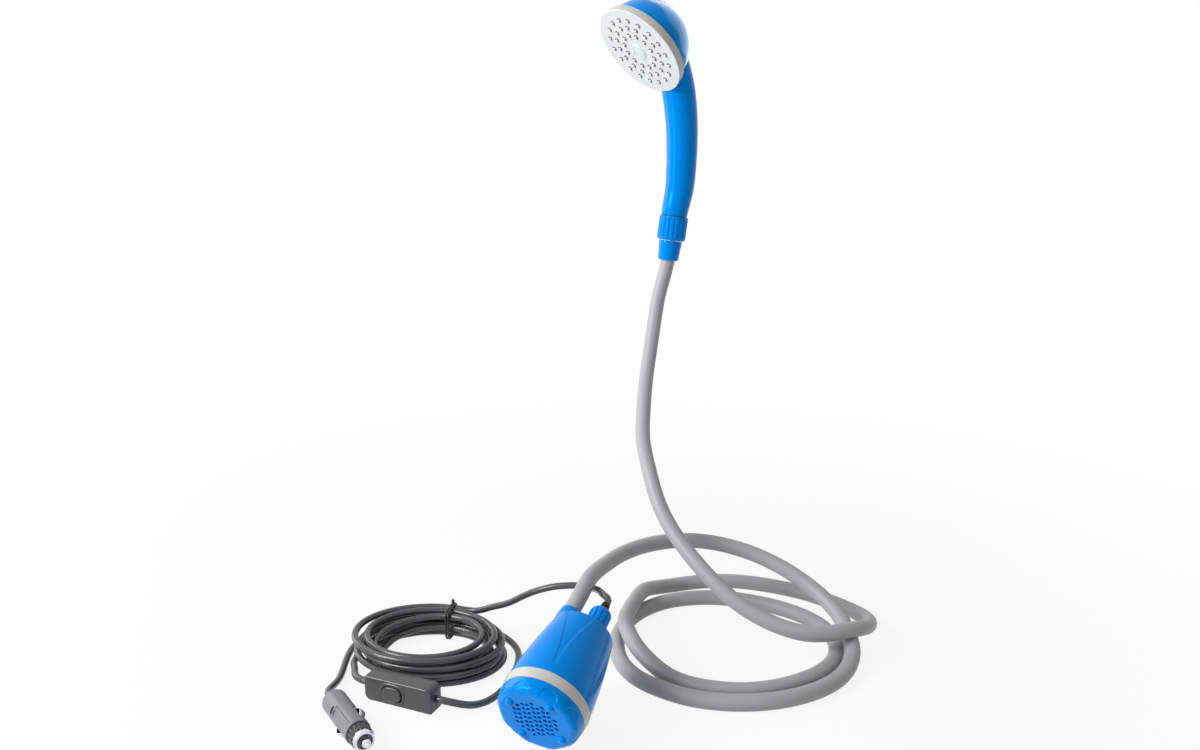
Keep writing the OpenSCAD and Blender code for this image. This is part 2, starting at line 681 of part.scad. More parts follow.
module motor_brushes() {
    reach = motor_r - can_wall - 1.2 - run_gap;
    color(dark_grey) at_pump() translate([0, 0, motor_top_z - 2]) for (k = [90, 270]) rotate(k)
        translate([commutator_r + run_gap, -1.2, 0]) cube([reach - commutator_r - run_gap, 2.4, 2]);
}

// Two wires from the cable's end down to the motor's end bell
module motor_leads() {
    end_z = casing_top_z - casing_wall - 1.2;
    color(copper) at_pump() for (side = [-1.2, 1.2])
        translate([gland_at[0] + side - 2, gland_at[1], bell_top_z])
        cylinder(r = 0.7, h = end_z - bell_top_z);
}

// Rubber duct from the volute's port, slanting in beside the motor to the spigot's stub
duct_reach = norm(spigot_at);
duct_path = [[port_reach, 0, volute_top_z - 2], [port_reach, 0, volute_top_z + 1],
    [port_reach - 0.6, 0, volute_top_z + 4], [duct_reach + 0.5, 0, casing_top_z - stub_l - 5],
    [duct_reach, 0, casing_top_z - stub_l - 2], [duct_reach, 0, casing_top_z - stub_l]];
module outlet_duct() {
    sides = 12;
    color(dark_grey) at_pump() rotate(spigot_turn)
        hollow_tube(tube_rings(duct_path, duct_r + duct_wall, sides), tube_rings(duct_path, duct_r, sides));
}

// Gland: ribbed dome nut on the casing's boss, and the rubber seal that grips the cable
module gland_nut() {
    crown = 5;
    color(blue) at_pump() translate([gland_at[0], gland_at[1], casing_top_z + clear_gap]) difference() {
        rotate_extrude() polygon(concat([[0, 0], [gland_r, 0]],
            arc([gland_r - crown, gland_h - crown], crown, 0, 90, 8), [[0, gland_h]]));
        translate([0, 0, -over]) cylinder(r = gland_boss_r + clear_gap, h = gland_boss_h + 4 + over);
        cylinder(r = relief_r + run_gap, h = gland_h + over);
        for (k = [0:gland_grooves - 1]) rotate(360 * k / gland_grooves) translate([gland_r + 0.3, 0, -over])
            cylinder(r = 0.9, h = gland_h - crown - 1 + over);
    }
}

module gland_seal() {
    foot_z = casing_top_z + gland_boss_h + 0.1;
    foot_h = 3.6;
    color(dark_grey) at_pump() translate([gland_at[0], gland_at[1], 0]) difference() {
        union() {
            translate([0, 0, foot_z]) cylinder(r = gland_boss_r, h = foot_h);
            translate([0, 0, foot_z]) cylinder(r = relief_r, h = casing_top_z + gland_h - foot_z + 1);
            translate([0, 0, casing_top_z + gland_h + 1])
                cylinder(r1 = relief_r, r2 = cable_r + 0.4, h = relief_l - 1);
        }
        translate([0, 0, foot_z - over]) cylinder(r = cable_r + run_gap, h = gland_h + relief_l + over);
    }
}

// Hose in two stretches that meet face to face
hose_outer = tube_rings(hose_route, hose_r, hose_sides);
hose_inner = tube_rings(hose_route, hose_bore_r, hose_sides);
module hose_loops() {
    color(hose_grey) hollow_tube(slice(hose_outer, 0, hose_split), slice(hose_inner, 0, hose_split));
}

module hose_riser() {
    last = len(hose_route) - 1;
    color(hose_grey) hollow_tube(slice(hose_outer, hose_split, last), slice(hose_inner, hose_split, last));
}

// Union at the handset: barb, sleeve, nut, washer and inlet
module hose_barb() {
    color(metal) at_handset() difference() {
        union() {
            translate([0, 0, flange_z]) cylinder(r = inlet_r - clear_gap, h = flange_t);
            translate([0, 0, hose_end_z - barb_l])
                cylinder(r = nipple_r, h = flange_z - hose_end_z + barb_l + 0.5);
        }
        translate([0, 0, hose_end_z - barb_l - over]) cylinder(r = nipple_r - 1, h = 2 * barb_l + 4 * over);
    }
}

module hose_sleeve() {
    color(blue) at_handset() translate([0, 0, sleeve_top_z - sleeve_l]) difference() {
        cylinder(r1 = sleeve_bottom_r, r2 = sleeve_top_r, h = sleeve_l);
        translate([0, 0, -over]) cylinder(r = hose_r + 0.1, h = sleeve_l - sleeve_wall_top + over);
        cylinder(r = nipple_r + run_gap, h = sleeve_l + over);
    }
}

module hose_nut() {
    shoulder = 2.4;
    color(blue) at_handset() difference() {
        rotate_extrude() polygon(concat([[0, nut_bottom_z]],
            arc([nut_r - shoulder, nut_bottom_z + shoulder], shoulder, -90, 0, 6),
            [[nut_r, nut_top_z - 0.6], [nut_r - 0.6, nut_top_z], [0, nut_top_z]]));
        translate([0, 0, nut_bottom_z + nut_lip]) cylinder(r = inlet_r + 0.2, h = -nut_bottom_z);
        translate([0, 0, nut_bottom_z - over]) cylinder(r = nipple_r + clear_gap, h = nut_lip + 2 * over);
        for (k = [0:nut_grooves - 1]) rotate(360 * k / nut_grooves)
            translate([nut_r + 0.2, 0, nut_bottom_z + shoulder + 1])
            cylinder(r = 0.8, h = -nut_bottom_z - shoulder - 4);
    }
}

module nut_washer() {
    color(dark_grey) at_handset() translate([0, 0, washer_z])
        ring(inlet_r - clear_gap, inlet_bore_r, washer_t + run_gap);
}

module handle_inlet() {
    inside_r = handle_axis[0][2] - handset_wall - 0.4;
    color(metal) at_handset() difference() {
        union() {
            translate([0, 0, -inlet_l]) cylinder(r = inlet_r, h = inlet_l);
            translate([0, 0, -1]) cylinder(r = inside_r, h = 9);
        }
        translate([0, 0, -inlet_l - over]) cylinder(r = inlet_bore_r, h = inlet_l + 14 + over);
    }
}

// Handle: rings along its curved axis, cut to sit on the dome
handle_path = [for (p = handle_axis) [p[0], 0, p[1]]];
function handle_rings(wall) = let (h = headings(handle_path)) [for (i = [0:len(handle_path) - 1])
    [for (k = [0:handle_sides - 1]) let (a = 360 * k / handle_sides, across = [h[i][2], 0, -h[i][0]])
    handle_path[i] + (handle_axis[i][2] - wall) * (cos(a) * across + sin(a) * [0, 1, 0])]];
dome_centre = [face_at[0] - ring_h * sin(face_tilt), 0, face_at[1] - ring_h * cos(face_tilt)];
module handset_handle() {
    color(blue) at_handset() difference() {
        hollow_tube(handle_rings(0), handle_rings(handset_wall));
        translate(dome_centre) sphere(r = dome_r);
        translate([face_at[0], 0, face_at[1]]) rotate([0, face_tilt, 0])
            translate([0, 0, -ring_h - clear_gap]) cylinder(r = ring_r + clear_gap, h = 2 * ring_h);
    }
}

// Dome with the neck for the ring, a pillar for the face's screw and the water's way in from the handle
module head_dome() {
    neck_outer = plate_r - 0.1;
    inside_r = dome_r - handset_wall;
    way_in = handle_path[len(handle_path) - 2];
    way_turn = 43;
    way_r = 7;
    way_past = 4;
    color(blue) difference() {
        at_face() translate([0, 0, -ring_h]) {
            difference() {
                intersection() {
                    sphere(r = dome_r);
                    translate([0, 0, -2 * dome_r]) cylinder(r = 2 * dome_r, h = 2 * dome_r);
                }
                intersection() {
                    sphere(r = inside_r);
                    translate([0, 0, -2 * dome_r]) cylinder(r = 2 * dome_r, h = 2 * dome_r + over);
                }
            }
            translate([0, 0, -0.6]) ring(neck_outer, neck_outer - 1.8, neck_len + 0.6);
            translate([0, 0, -inside_r - 1]) cylinder(r = pillar_r, h = inside_r + 1 + ring_h + hub_z);
        }
        at_face() translate([0, 0, hub_z - 10]) cylinder(r = screw_r + 0.02, h = 10 + over);
        at_handset() translate(way_in) rotate([0, way_turn, 0]) translate([0, 0, -dome_r])
            cylinder(r = way_r, h = dome_r + way_past);
    }
}

module head_gasket() {
    color(dark_grey) at_face() translate([0, 0, -ring_h + neck_len])
        ring(plate_r - 0.1, plate_r - 1.7, gasket_t);
}

// Ring round the face, with the ledge that the plate sits on
module face_ring() {
    edge = 1.4;
    color(pale) at_face() rotate_extrude() polygon(concat(
        [[plate_r + run_gap, -ring_h], [ring_r - 1.4, -ring_h]],
        arc([ring_r - edge, -edge], edge, 0, 90, 6),
        [[plate_r + run_gap, 0], [plate_r + run_gap, -plate_t], [plate_r - 1.8, -plate_t],
        [plate_r - 1.8, -plate_t - ledge_t], [plate_r + run_gap, -plate_t - ledge_t]]));
}

// Face plate with three rings of raised nozzles, and a hub on its back
module nozzle_places() {
    for (row = [0:2], k = [0:nozzle_counts[row] - 1])
        rotate(360 * (k + 0.5 * row) / nozzle_counts[row]) translate([nozzle_radii[row], 0, 0]) children();
}

module nozzle_plate() {
    color(white_grey) at_face() difference() {
        union() {
            translate([0, 0, -plate_t]) cylinder(r = plate_r, h = plate_t + plate_proud);
            translate([0, 0, hub_z]) cylinder(r = hub_r, h = -hub_z);
            nozzle_places() cylinder(r1 = nozzle_r, r2 = 0.7 * nozzle_r, h = plate_proud + nozzle_h);
        }
        nozzle_places() translate([0, 0, -plate_t - over])
            cylinder(r = nozzle_bore_r, h = plate_t + plate_proud + nozzle_h + 2 * over);
        translate([0, 0, hub_z - over]) cylinder(r = screw_r + 0.2, h = -hub_z + 2 * over);
        translate([0, 0, -2.6]) cylinder(r = screw_head_r + 0.2, h = 2.6 + over);
    }
}

module face_boss() {
    color(white_grey) at_face() difference() {
        union() {
            translate([0, 0, plate_proud]) cylinder(r1 = boss_r, r2 = boss_r - 0.6, h = 0.7);
            translate([0, 0, -0.6]) cylinder(r = screw_head_r + 0.15, h = 0.6 + plate_proud + 0.1);
        }
        translate([0, 0, plate_proud + 0.4]) ring(boss_r - 1.6, boss_r - 2.1, over);
    }
}

module face_screw() {
    color(metal) at_face() {
        translate([0, 0, -2.6]) cylinder(r = screw_head_r, h = 1.9);
        translate([0, 0, hub_z - 9]) cylinder(r = screw_r, h = 9 - hub_z - 2.5);
    }
}

// Cable: lead from the gland, coil, wire tie, and the leads to the switch and the plug
module cable_lead() {
    color(cable_grey) solid_tube(tube_rings(lead_route, cable_r, cable_sides));
}

module cable_coil() {
    color(cable_grey) solid_tube(tube_rings(coil_path, cable_r, 6));
}

module switch_lead() {
    color(cable_grey) solid_tube(tube_rings(switch_route, cable_r, cable_sides));
}

module plug_lead() {
    color(cable_grey) solid_tube(tube_rings(plug_route, cable_r, cable_sides));
}

// A square with round corners, from its lower left corner
module round_box(size, r) {
    translate([r, 0]) square([size[0] - 2 * r, size[1]]);
    translate([0, r]) square([size[0], size[1] - 2 * r]);
    for (x = [r, size[0] - r], y = [r, size[1] - r]) translate([x, y]) circle(r = r);
}

module cable_tie() {
    turns_in = coil_sweep / 360 / coil_layers;
    room = [turns_in * step_at_tie + 2 * cable_r + 1.6, layer_h * (coil_layers - 1) + 2 * cable_r + 0.8];
    lean = coil_lean * layer_h * (coil_layers - 1) / 2;
    outer_y = coil_half_w + cable_r + 0.8;
    floor_z = coil_lift - 0.4 - tie_t;
    color(dark_grey) translate(coil_at) rotate(coil_turn)
        translate([coil_half_l * cos(tie_angle) - lean + tie_w / 2, outer_y + tie_t, floor_z])
        rotate([90, 0, -90]) linear_extrude(tie_w) {
            difference() {
                round_box([room[0] + 2 * tie_t, room[1] + 2 * tie_t], 2.4);
                translate([tie_t, tie_t]) round_box(room, 1.6);
            }
            translate([5, room[1] + 2 * tie_t - 0.4]) round_box([1.6, 6], 0.7);
        }
}

// Switch: two half shells on a joint across its depth, the front one with the button's bezel
module switch_outline(inset) {
    round_r = 4.5 - inset;
    l = switch_l / 2 - inset;
    z0 = inset;
    z1 = switch_h - inset;
    polygon(concat(arc([-l + round_r, z0 + round_r], round_r, 180, 270, 6), [[l, z0]],
        arc([l - round_r, z1 - round_r], round_r, 0, 90, 6), [[-l, z1]]));
}

module switch_half(front) {
    depth = switch_d / 2 - (front ? run_gap : 0);
    place = front ? -run_gap : switch_d / 2;
    difference() {
        translate([0, place, 0]) rotate([90, 0, 0]) linear_extrude(depth) switch_outline(0);
        translate([0, front ? over : switch_d / 2 - switch_wall, 0]) rotate([90, 0, 0])
            linear_extrude(switch_d / 2 - switch_wall + over) switch_outline(switch_wall);
        translate([-switch_l, 0, switch_centre]) rotate([0, 90, 0])
            cylinder(r = cable_r + run_gap, h = 2 * switch_l);
    }
}

screw_posts = [-20, 18];
module switch_base() {
    color(cable_grey) at_switch() difference() {
        union() {
            switch_half(false);
            for (x = screw_posts) translate([x, 0.2, switch_centre + 5]) rotate([-90, 0, 0])
                cylinder(r = 2.6, h = switch_d / 2 - 1);
        }
        for (x = screw_posts) translate([x, -over, switch_centre + 5]) rotate([-90, 0, 0]) {
            cylinder(r = 1.3, h = switch_d);
            translate([0, 0, switch_d / 2 - 1.6 + over]) cylinder(r = 2.2, h = 4);
        }
    }
}

module switch_cover() {
    bezel = 0.8;
    color(cable_grey) at_switch() difference() {
        union() {
            switch_half(true);
            translate([-4, -switch_d / 2 - bezel, switch_centre]) rotate([-90, 0, 0])
                cylinder(r = button_r + 2, h = bezel + switch_wall);
            for (x = screw_posts) translate([x, -switch_d / 2 + 1, switch_centre + 5]) rotate([-90, 0, 0])
                cylinder(r = 2.6, h = switch_d / 2 - 1.2);
        }
        translate([-4, -switch_d / 2 - bezel - over, switch_centre]) rotate([-90, 0, 0])
            cylinder(r = button_r + clear_gap, h = bezel + switch_wall + 2 * over);
        for (x = screw_posts) translate([x, -switch_d / 2 + 3, switch_centre + 5]) rotate([-90, 0, 0])
            cylinder(r = 1.02, h = switch_d);
    }
}

flange_y = -switch_d / 2 + switch_wall + 0.1;
block_y = switch_d / 2 - switch_wall - block_d;
module switch_button() {
    color(dark_grey) at_switch() translate([-4, 0, switch_centre]) rotate([-90, 0, 0]) {
        translate([0, 0, -switch_d / 2 - button_proud])
            cylinder(r1 = button_r - 0.5, r2 = button_r, h = 0.6);
        translate([0, 0, -switch_d / 2 - button_proud + 0.6])
            cylinder(r = button_r, h = switch_wall + button_proud - 0.6 + 0.2);
        translate([0, 0, flange_y]) cylinder(r = button_r + button_flange, h = 1);
    }
}

module switch_spring() {
    start = flange_y + 1;
    color(metal) at_switch() translate([-4, start + 0.05, switch_centre]) rotate([-90, 0, 0])
        helix_spring(switch_spring_r, block_y - start - 0.1, 4, wire_r);
}

module switch_contacts() {
    color(brass_colour) at_switch() translate([-4, block_y, switch_centre]) {
        translate([-7, 0, -6]) cube([14, block_d - 0.02, 12]);
        for (side = [-1, 1]) translate([side * 7 - (side < 0 ? 2 : 0), 1.5, -2]) cube([2, 1, 4]);
    }
}

module switch_screws() {
    color(metal) at_switch() for (x = screw_posts) translate([x, 0, switch_centre + 5]) rotate([-90, 0, 0]) {
        translate([0, 0, switch_d / 2 - 1.58]) cylinder(r = 2, h = 1.3);
        translate([0, 0, -3]) cylinder(r = 1, h = switch_d / 2 + 2);
    }
}

// Plug: rounded shell with windows for the side contacts, dark nose, metal ring, sprung tip, fuse
module plug_shell() {
    rear_r = 5.5;
    color(plug_grey) at_plug() difference() {
        rotate_extrude() polygon(concat([[0, -plug_rear]],
            arc([plug_r - rear_r, -plug_rear + rear_r], rear_r, -90, 0, 8),
            [[plug_r, plug_l], [0, plug_l]]));
        translate([0, 0, -plug_rear + 5]) cylinder(r = plug_bore_r, h = plug_l + plug_rear);
        translate([0, 0, -plug_rear - over]) cylinder(r = cable_r + run_gap, h = 7);
        translate([-contact_half_h - clear_gap, -plug_r - over, contact_window[0]])
            cube([2 * contact_half_h + 2 * clear_gap, 2 * plug_r + 2 * over,
            contact_window[1] - contact_window[0]]);
    }
}

module plug_nose() {
    spigot = 2.4;
    color(dark_grey) at_plug() difference() {
        union() {
            translate([0, 0, nose_z]) cylinder(r = nose_r, h = nose_l);
            translate([0, 0, nose_z - spigot]) cylinder(r = plug_bore_r - 0.05, h = spigot + 0.5);
        }
        translate([0, 0, nose_z - spigot - over]) cylinder(r = tip_r + 1.6, h = spigot + nose_l - 1);
        translate([0, 0, nose_z]) cylinder(r = tip_r + 0.2, h = nose_l + over);
    }
}

module plug_nose_ring() {
    edge = 1.6;
    color(metal) at_plug() translate([0, 0, nose_z + nose_l]) difference() {
        rotate_extrude() polygon(concat([[0, 0], [nose_r - 0.6, 0]],
            arc([nose_r - 0.6 - edge, ring_len - edge], edge, 0, 90, 6), [[0, ring_len]]));
        translate([0, 0, -over]) cylinder(r = tip_r + 0.2, h = ring_len + 2 * over);
    }
}

tip_flange_z = nose_z + nose_l - 3.4;
fuse_z = nose_z - 5 - fuse_l - tip_travel;
module plug_tip() {
    color(metal) at_plug() {
        translate([0, 0, tip_flange_z]) cylinder(r = tip_r + 1.2, h = 1);
        translate([0, 0, tip_flange_z + 0.5])
            cylinder(r = tip_r, h = nose_z + nose_l + ring_len + tip_out - 3 - tip_flange_z - 0.5);
        translate([0, 0, nose_z + nose_l + ring_len + tip_out - 3]) cylinder(r1 = tip_r, r2 = 1.2, h = 3);
    }
}

module plug_tip_spring() {
    start = fuse_z + fuse_l + 0.05;
    color(metal) at_plug() translate([0, 0, start])
        helix_spring(tip_spring_r, tip_flange_z - start - 0.05, 5, wire_r);
}

module plug_fuse() {
    color(metal) at_plug() {
        translate([0, 0, fuse_z + 4]) cylinder(r = fuse_r - 0.3, h = fuse_l - 8);
        translate([0, 0, fuse_z]) cylinder(r = fuse_r, h = 4.5);
        translate([0, 0, fuse_z + fuse_l - 4.5]) cylinder(r = fuse_r + 0.5, h = 4.5);
    }
}

// Side contact: a bowed leaf whose ends tuck under the shell's wall
module plug_contact(side) {
    mid = (contact_window[0] + contact_window[1]) / 2;
    half = (contact_window[1] - contact_window[0]) / 2;
    tuck = sqrt(pow(plug_bore_r, 2) - pow(contact_half_h, 2)) - contact_t - 0.25;
    bow = contact_reach - contact_t;
    outer = [for (i = [-8:8]) [tuck + (bow - tuck) * (1 + cos(22.5 * i)) / 2, mid + (half - 1) * i / 8]];
    inner = [for (i = [-8:8]) outer[8 - i]];
    color(metal) at_plug() mirror([0, side < 0 ? 1 : 0, 0]) rotate([0, 0, 90])
        translate([0, contact_half_h, 0]) rotate([90, 0, 0]) linear_extrude(2 * contact_half_h)
            polygon(concat([[tuck, mid - half - 3]], outer,
                [[tuck, mid + half + 3], [tuck + contact_t, mid + half + 3]],
                [for (p = inner) p + [contact_t, 0]], [[tuck + contact_t, mid - half - 3]]));
}

module plug_contact_left() {
    plug_contact(1);
}

module plug_contact_right() {
    plug_contact(-1);
}

pump_casing();
trim_band();
strainer_cap();
volute_cover();
volute_body();
volute_screws();
impeller();
motor_shaft();
shaft_seal();
motor_can();
motor_end_bell();
motor_magnets();
armature();
commutator();
motor_brushes();
motor_bushes();
motor_leads();
casing_o_ring();
outlet_duct();
gland_nut();
gland_seal();
hose_loops();
hose_riser();
hose_barb();
hose_sleeve();
hose_nut();
nut_washer();
handle_inlet();
handset_handle();
head_dome();
head_gasket();
face_ring();
nozzle_plate();
face_boss();
face_screw();
cable_lead();
cable_coil();
cable_tie();
switch_lead();
plug_lead();
switch_base();
switch_cover();
switch_button();
switch_spring();
switch_contacts();
switch_screws();
plug_shell();
plug_nose();
plug_nose_ring();
plug_tip();
plug_tip_spring();
plug_fuse();
plug_contact_left();
plug_contact_right();
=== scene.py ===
"""Camp shower pump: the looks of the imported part, and the studio it is seen in."""

import logging
import math
from dataclasses import dataclass
from enum import Enum

import bpy
import numpy as np
from mathutils import Matrix


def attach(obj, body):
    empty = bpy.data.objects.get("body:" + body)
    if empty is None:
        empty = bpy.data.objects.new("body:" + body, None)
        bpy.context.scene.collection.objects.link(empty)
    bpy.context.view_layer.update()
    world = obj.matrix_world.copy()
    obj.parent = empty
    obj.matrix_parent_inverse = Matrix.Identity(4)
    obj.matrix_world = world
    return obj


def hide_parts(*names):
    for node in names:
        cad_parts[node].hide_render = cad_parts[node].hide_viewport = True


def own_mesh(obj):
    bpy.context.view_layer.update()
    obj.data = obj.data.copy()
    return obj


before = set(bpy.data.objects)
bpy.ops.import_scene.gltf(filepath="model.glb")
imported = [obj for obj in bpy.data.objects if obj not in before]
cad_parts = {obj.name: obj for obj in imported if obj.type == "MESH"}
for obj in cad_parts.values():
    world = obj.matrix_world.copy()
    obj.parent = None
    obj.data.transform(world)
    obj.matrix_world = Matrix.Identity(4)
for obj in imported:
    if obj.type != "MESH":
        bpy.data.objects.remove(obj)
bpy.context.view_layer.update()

LOG = logging.getLogger("camp_shower_pump")
MM = 0.001
TINY = 1e-6
SHARP = 32.0
UV_SEAM = 0.01
WIRE_R, WIRE_AROUND, WIRE_STEPS = 0.4, 10, 24
SEEING_RAYS = ("Camera", "Glossy", "Transmission")
Array = np.ndarray
Colour = Point = tuple[float, float, float]
Pair = tuple[float, float]
Object = bpy.types.Object


class Axis(Enum):
    """An axis to turn about."""

    X = 0
    Y = 1
    Z = 2


class Ends(Enum):
    """How the first and last rings of a surface close."""

    POINT = "point"
    LOOP = "loop"


class Grain(Enum):
    """How a finish varies over its surface."""

    MOULDED = "moulded"
    DRAWN = "drawn"
    BRUSHED = "brushed"
    PLAIN = "plain"


# Scale of the broad mottling, stretch of the lines and scale of the fine grain, per metre (DRAWN: in UV).
GRAIN_SCALES = {
    Grain.MOULDED: (38.0, (90.0, 700.0, 90.0), 1500.0),
    Grain.DRAWN: (6.0, (26.0, 7.0, 1.0), 220.0),
    Grain.BRUSHED: (60.0, (150.0, 150.0, 2600.0), 1800.0),
    Grain.PLAIN: (90.0, (300.0, 300.0, 300.0), 2400.0),
}


@dataclass(frozen=True)
class Finish:
    """What a surface is made of.

    Args:
        name: The material's name.
        slot: The record's material slot; not used here.
        colour: Main colour, linear.
        shade: Colour that the mottling goes towards, linear.
        roughness: Middle of the roughness.
        spread: How far the roughness goes either way.
        grain: Kind of variation.
        depth: Height of the bump, in metres.
        metallic: 0 for plastics, 1 for metals.
        specular: Strength of the plain reflection.
        tint: Colour of the reflection where the surface is seen straight on.
    """

    name: str
    slot: str
    colour: Colour
    shade: Colour
    roughness: float
    spread: float
    grain: Grain
    depth: float
    metallic: float = 0.0
    specular: float = 0.5
    tint: Colour = (1.0, 1.0, 1.0)


BLUE = Finish("gloss_blue", "blue_plastic", (0.0, 0.245, 0.8), (0.0, 0.225, 0.75), 0.18, 0.04,
              Grain.MOULDED, 3e-6, specular=0.3, tint=(0.02, 0.75, 1.0))
# Painted shade: a deeper blue for the backing seen through the grille's slots.
SLOT_SHADE_BLUE = Finish("slot_shade_blue", "blue_plastic", (0.0, 0.13, 0.66), (0.0, 0.11, 0.58), 0.5, 0.06,
                   Grain.MOULDED, 6e-6, specular=0.3)
PALE = Finish("pale_grey", "pale_plastic", (0.58, 0.57, 0.54), (0.54, 0.53, 0.5), 0.34, 0.06,
              Grain.MOULDED, 6e-6)
FACE = Finish("face_grey", "face_plastic", (0.7, 0.73, 0.73), (0.67, 0.7, 0.7), 0.32, 0.05,
              Grain.MOULDED, 4e-6)
# Painted highlight: the nubs are whiter than the plate so that their lit sides show as bright highlights.
NUB_HIGHLIGHT = Finish("nub_highlight_white", "face_plastic", (0.9, 0.9, 0.89), (0.84, 0.84, 0.83), 0.2, 0.05, Grain.PLAIN, 3e-6)
# Painted shade: near-black discs round the nubs' feet stand for the shade there.
NUB_SHADE = Finish("nub_shade_grey", "face_plastic", (0.07, 0.06, 0.06), (0.05, 0.045, 0.045), 0.4, 0.06,
              Grain.PLAIN, 5e-6)
HOSE = Finish("hose_grey", "hose", (0.42, 0.42, 0.43), (0.39, 0.39, 0.4), 0.42, 0.08,
              Grain.DRAWN, 2e-5, specular=0.4)
CABLE = Finish("cable_grey", "cable", (0.068, 0.068, 0.072), (0.052, 0.052, 0.056), 0.24, 0.08,
               Grain.DRAWN, 1.5e-5, specular=0.55)
TIE = Finish("tie_black", "cable", (0.02, 0.02, 0.021), (0.014, 0.014, 0.015), 0.38, 0.06, Grain.PLAIN, 8e-6)
SWITCH = Finish("switch_grey", "switch_plastic", (0.075, 0.075, 0.078), (0.062, 0.062, 0.065), 0.32, 0.06,
                Grain.MOULDED, 1.6e-5)
PLUG = Finish("plug_grey", "plug_plastic", (0.2, 0.205, 0.22), (0.17, 0.175, 0.19), 0.36, 0.07,
              Grain.MOULDED, 1e-5)
DARK = Finish("dark_grey", "dark_plastic", (0.03, 0.03, 0.032), (0.022, 0.022, 0.024), 0.5, 0.08,
              Grain.MOULDED, 1e-5)
RUBBER = Finish("black_rubber", "rubber", (0.018, 0.018, 0.018), (0.012, 0.012, 0.012), 0.55, 0.08,
                Grain.PLAIN, 1.2e-5, specular=0.15)
STEEL = Finish("bright_metal", "bright_metal", (0.78, 0.78, 0.8), (0.66, 0.66, 0.68), 0.16, 0.06,
               Grain.BRUSHED, 3e-6, metallic=1.0)
BRASS = Finish("brass", "brass", (0.72, 0.55, 0.25), (0.62, 0.45, 0.18), 0.3, 0.08,
               Grain.BRUSHED, 4e-6, metallic=1.0)
MAGNET = Finish("magnet", "magnet", (0.06, 0.06, 0.065), (0.045, 0.045, 0.05), 0.6, 0.08, Grain.PLAIN, 1.5e-5)
COPPER = Finish("copper", "copper_winding", (0.65, 0.32, 0.18), (0.5, 0.22, 0.11), 0.34, 0.08,
                Grain.BRUSHED, 6e-6, metallic=1.0)


class Value:
    """One output socket of a node tree, with arithmetic that adds Math nodes."""

    def __init__(self, graph: "Graph", socket: bpy.types.NodeSocket) -> None:
        """Keeps the socket and the graph that it belongs to."""
        self.graph = graph
        self.socket = socket

    def __add__(self, other: "Value | float") -> "Value":
        """The sum of the two."""
        return self.graph.math("ADD", self, other)

    def __radd__(self, other: float) -> "Value":
        """The sum, with the number first."""
        return self.graph.math("ADD", other, self)

    def __sub__(self, other: "Value | float") -> "Value":
        """This less the other."""
        return self.graph.math("SUBTRACT", self, other)

    def __mul__(self, other: "Value | float") -> "Value":
        """The product of the two."""
        return self.graph.math("MULTIPLY", self, other)

    def __truediv__(self, other: "Value | float") -> "Value":
        """This divided by the other."""
        return self.graph.math("DIVIDE", self, other)

    def at_most(self, other: "Value | float") -> "Value":
        """The smaller of the two."""
        return self.graph.math("MINIMUM", self, other)

    def at_least(self, other: "Value | float") -> "Value":
        """The larger of the two."""
        return self.graph.math("MAXIMUM", self, other)


class Graph:
    """Adds nodes to one node tree, which it empties first."""

    def __init__(self, tree: bpy.types.NodeTree) -> None:
        """Takes over the tree."""
        self.tree = tree
        tree.nodes.clear()

    def add(self, kind: str, settings: dict | None = None, sockets: dict | None = None,
            out: int | str = 0) -> Value | None:
        """Adds one node.

        Args:
            kind: The node's type.
            settings: Attributes, set before the sockets.
            sockets: Values or links by input name or number.
            out: Which output to return.

        Returns:
            The output as a Value, or None for a node with no output.
        """
        node = self.tree.nodes.new(kind)
        for key, value in (settings or {}).items():
            setattr(node, key, value)
        for key, value in (sockets or {}).items():
            if isinstance(value, Value):
                self.tree.links.new(value.socket, node.inputs[key])
            else:
                node.inputs[key].default_value = value
        return Value(self, node.outputs[out]) if len(node.outputs) else None

    def math(self, operation: str, first: Value | float, second: Value | float) -> Value:
        """A Math node of two inputs."""
        return self.add("ShaderNodeMath", {"operation": operation}, {0: first, 1: second})

    def noise(self, where: Value, scale: float, detail: float = 2.0) -> Value:
        """Noise from 0 to 1 about 0.5."""
        return self.add("ShaderNodeTexNoise", {}, {"Vector": where, "Scale": scale, "Detail": detail})

    def stretch(self, where: Value, by: Point) -> Value:
        """Coordinates times a vector."""
        return self.add("ShaderNodeVectorMath", {"operation": "MULTIPLY"}, {0: where, 1: by})

    def seen(self) -> Value:
        """1 for rays from the camera, a reflection or through glass, 0 for light that falls on things."""
        rays = [self.add("ShaderNodeLightPath", out=f"Is {kind} Ray") for kind in SEEING_RAYS]
        return (rays[0] + rays[1] + rays[2]).at_most(1.0)

    def mix(self, share: Value | float, first: Colour, second: Colour) -> Value:
        """A colour between two."""
        return self.add("ShaderNodeMix", {"data_type": "RGBA"},
                        {0: share, 6: (*first, 1.0), 7: (*second, 1.0)}, 2)


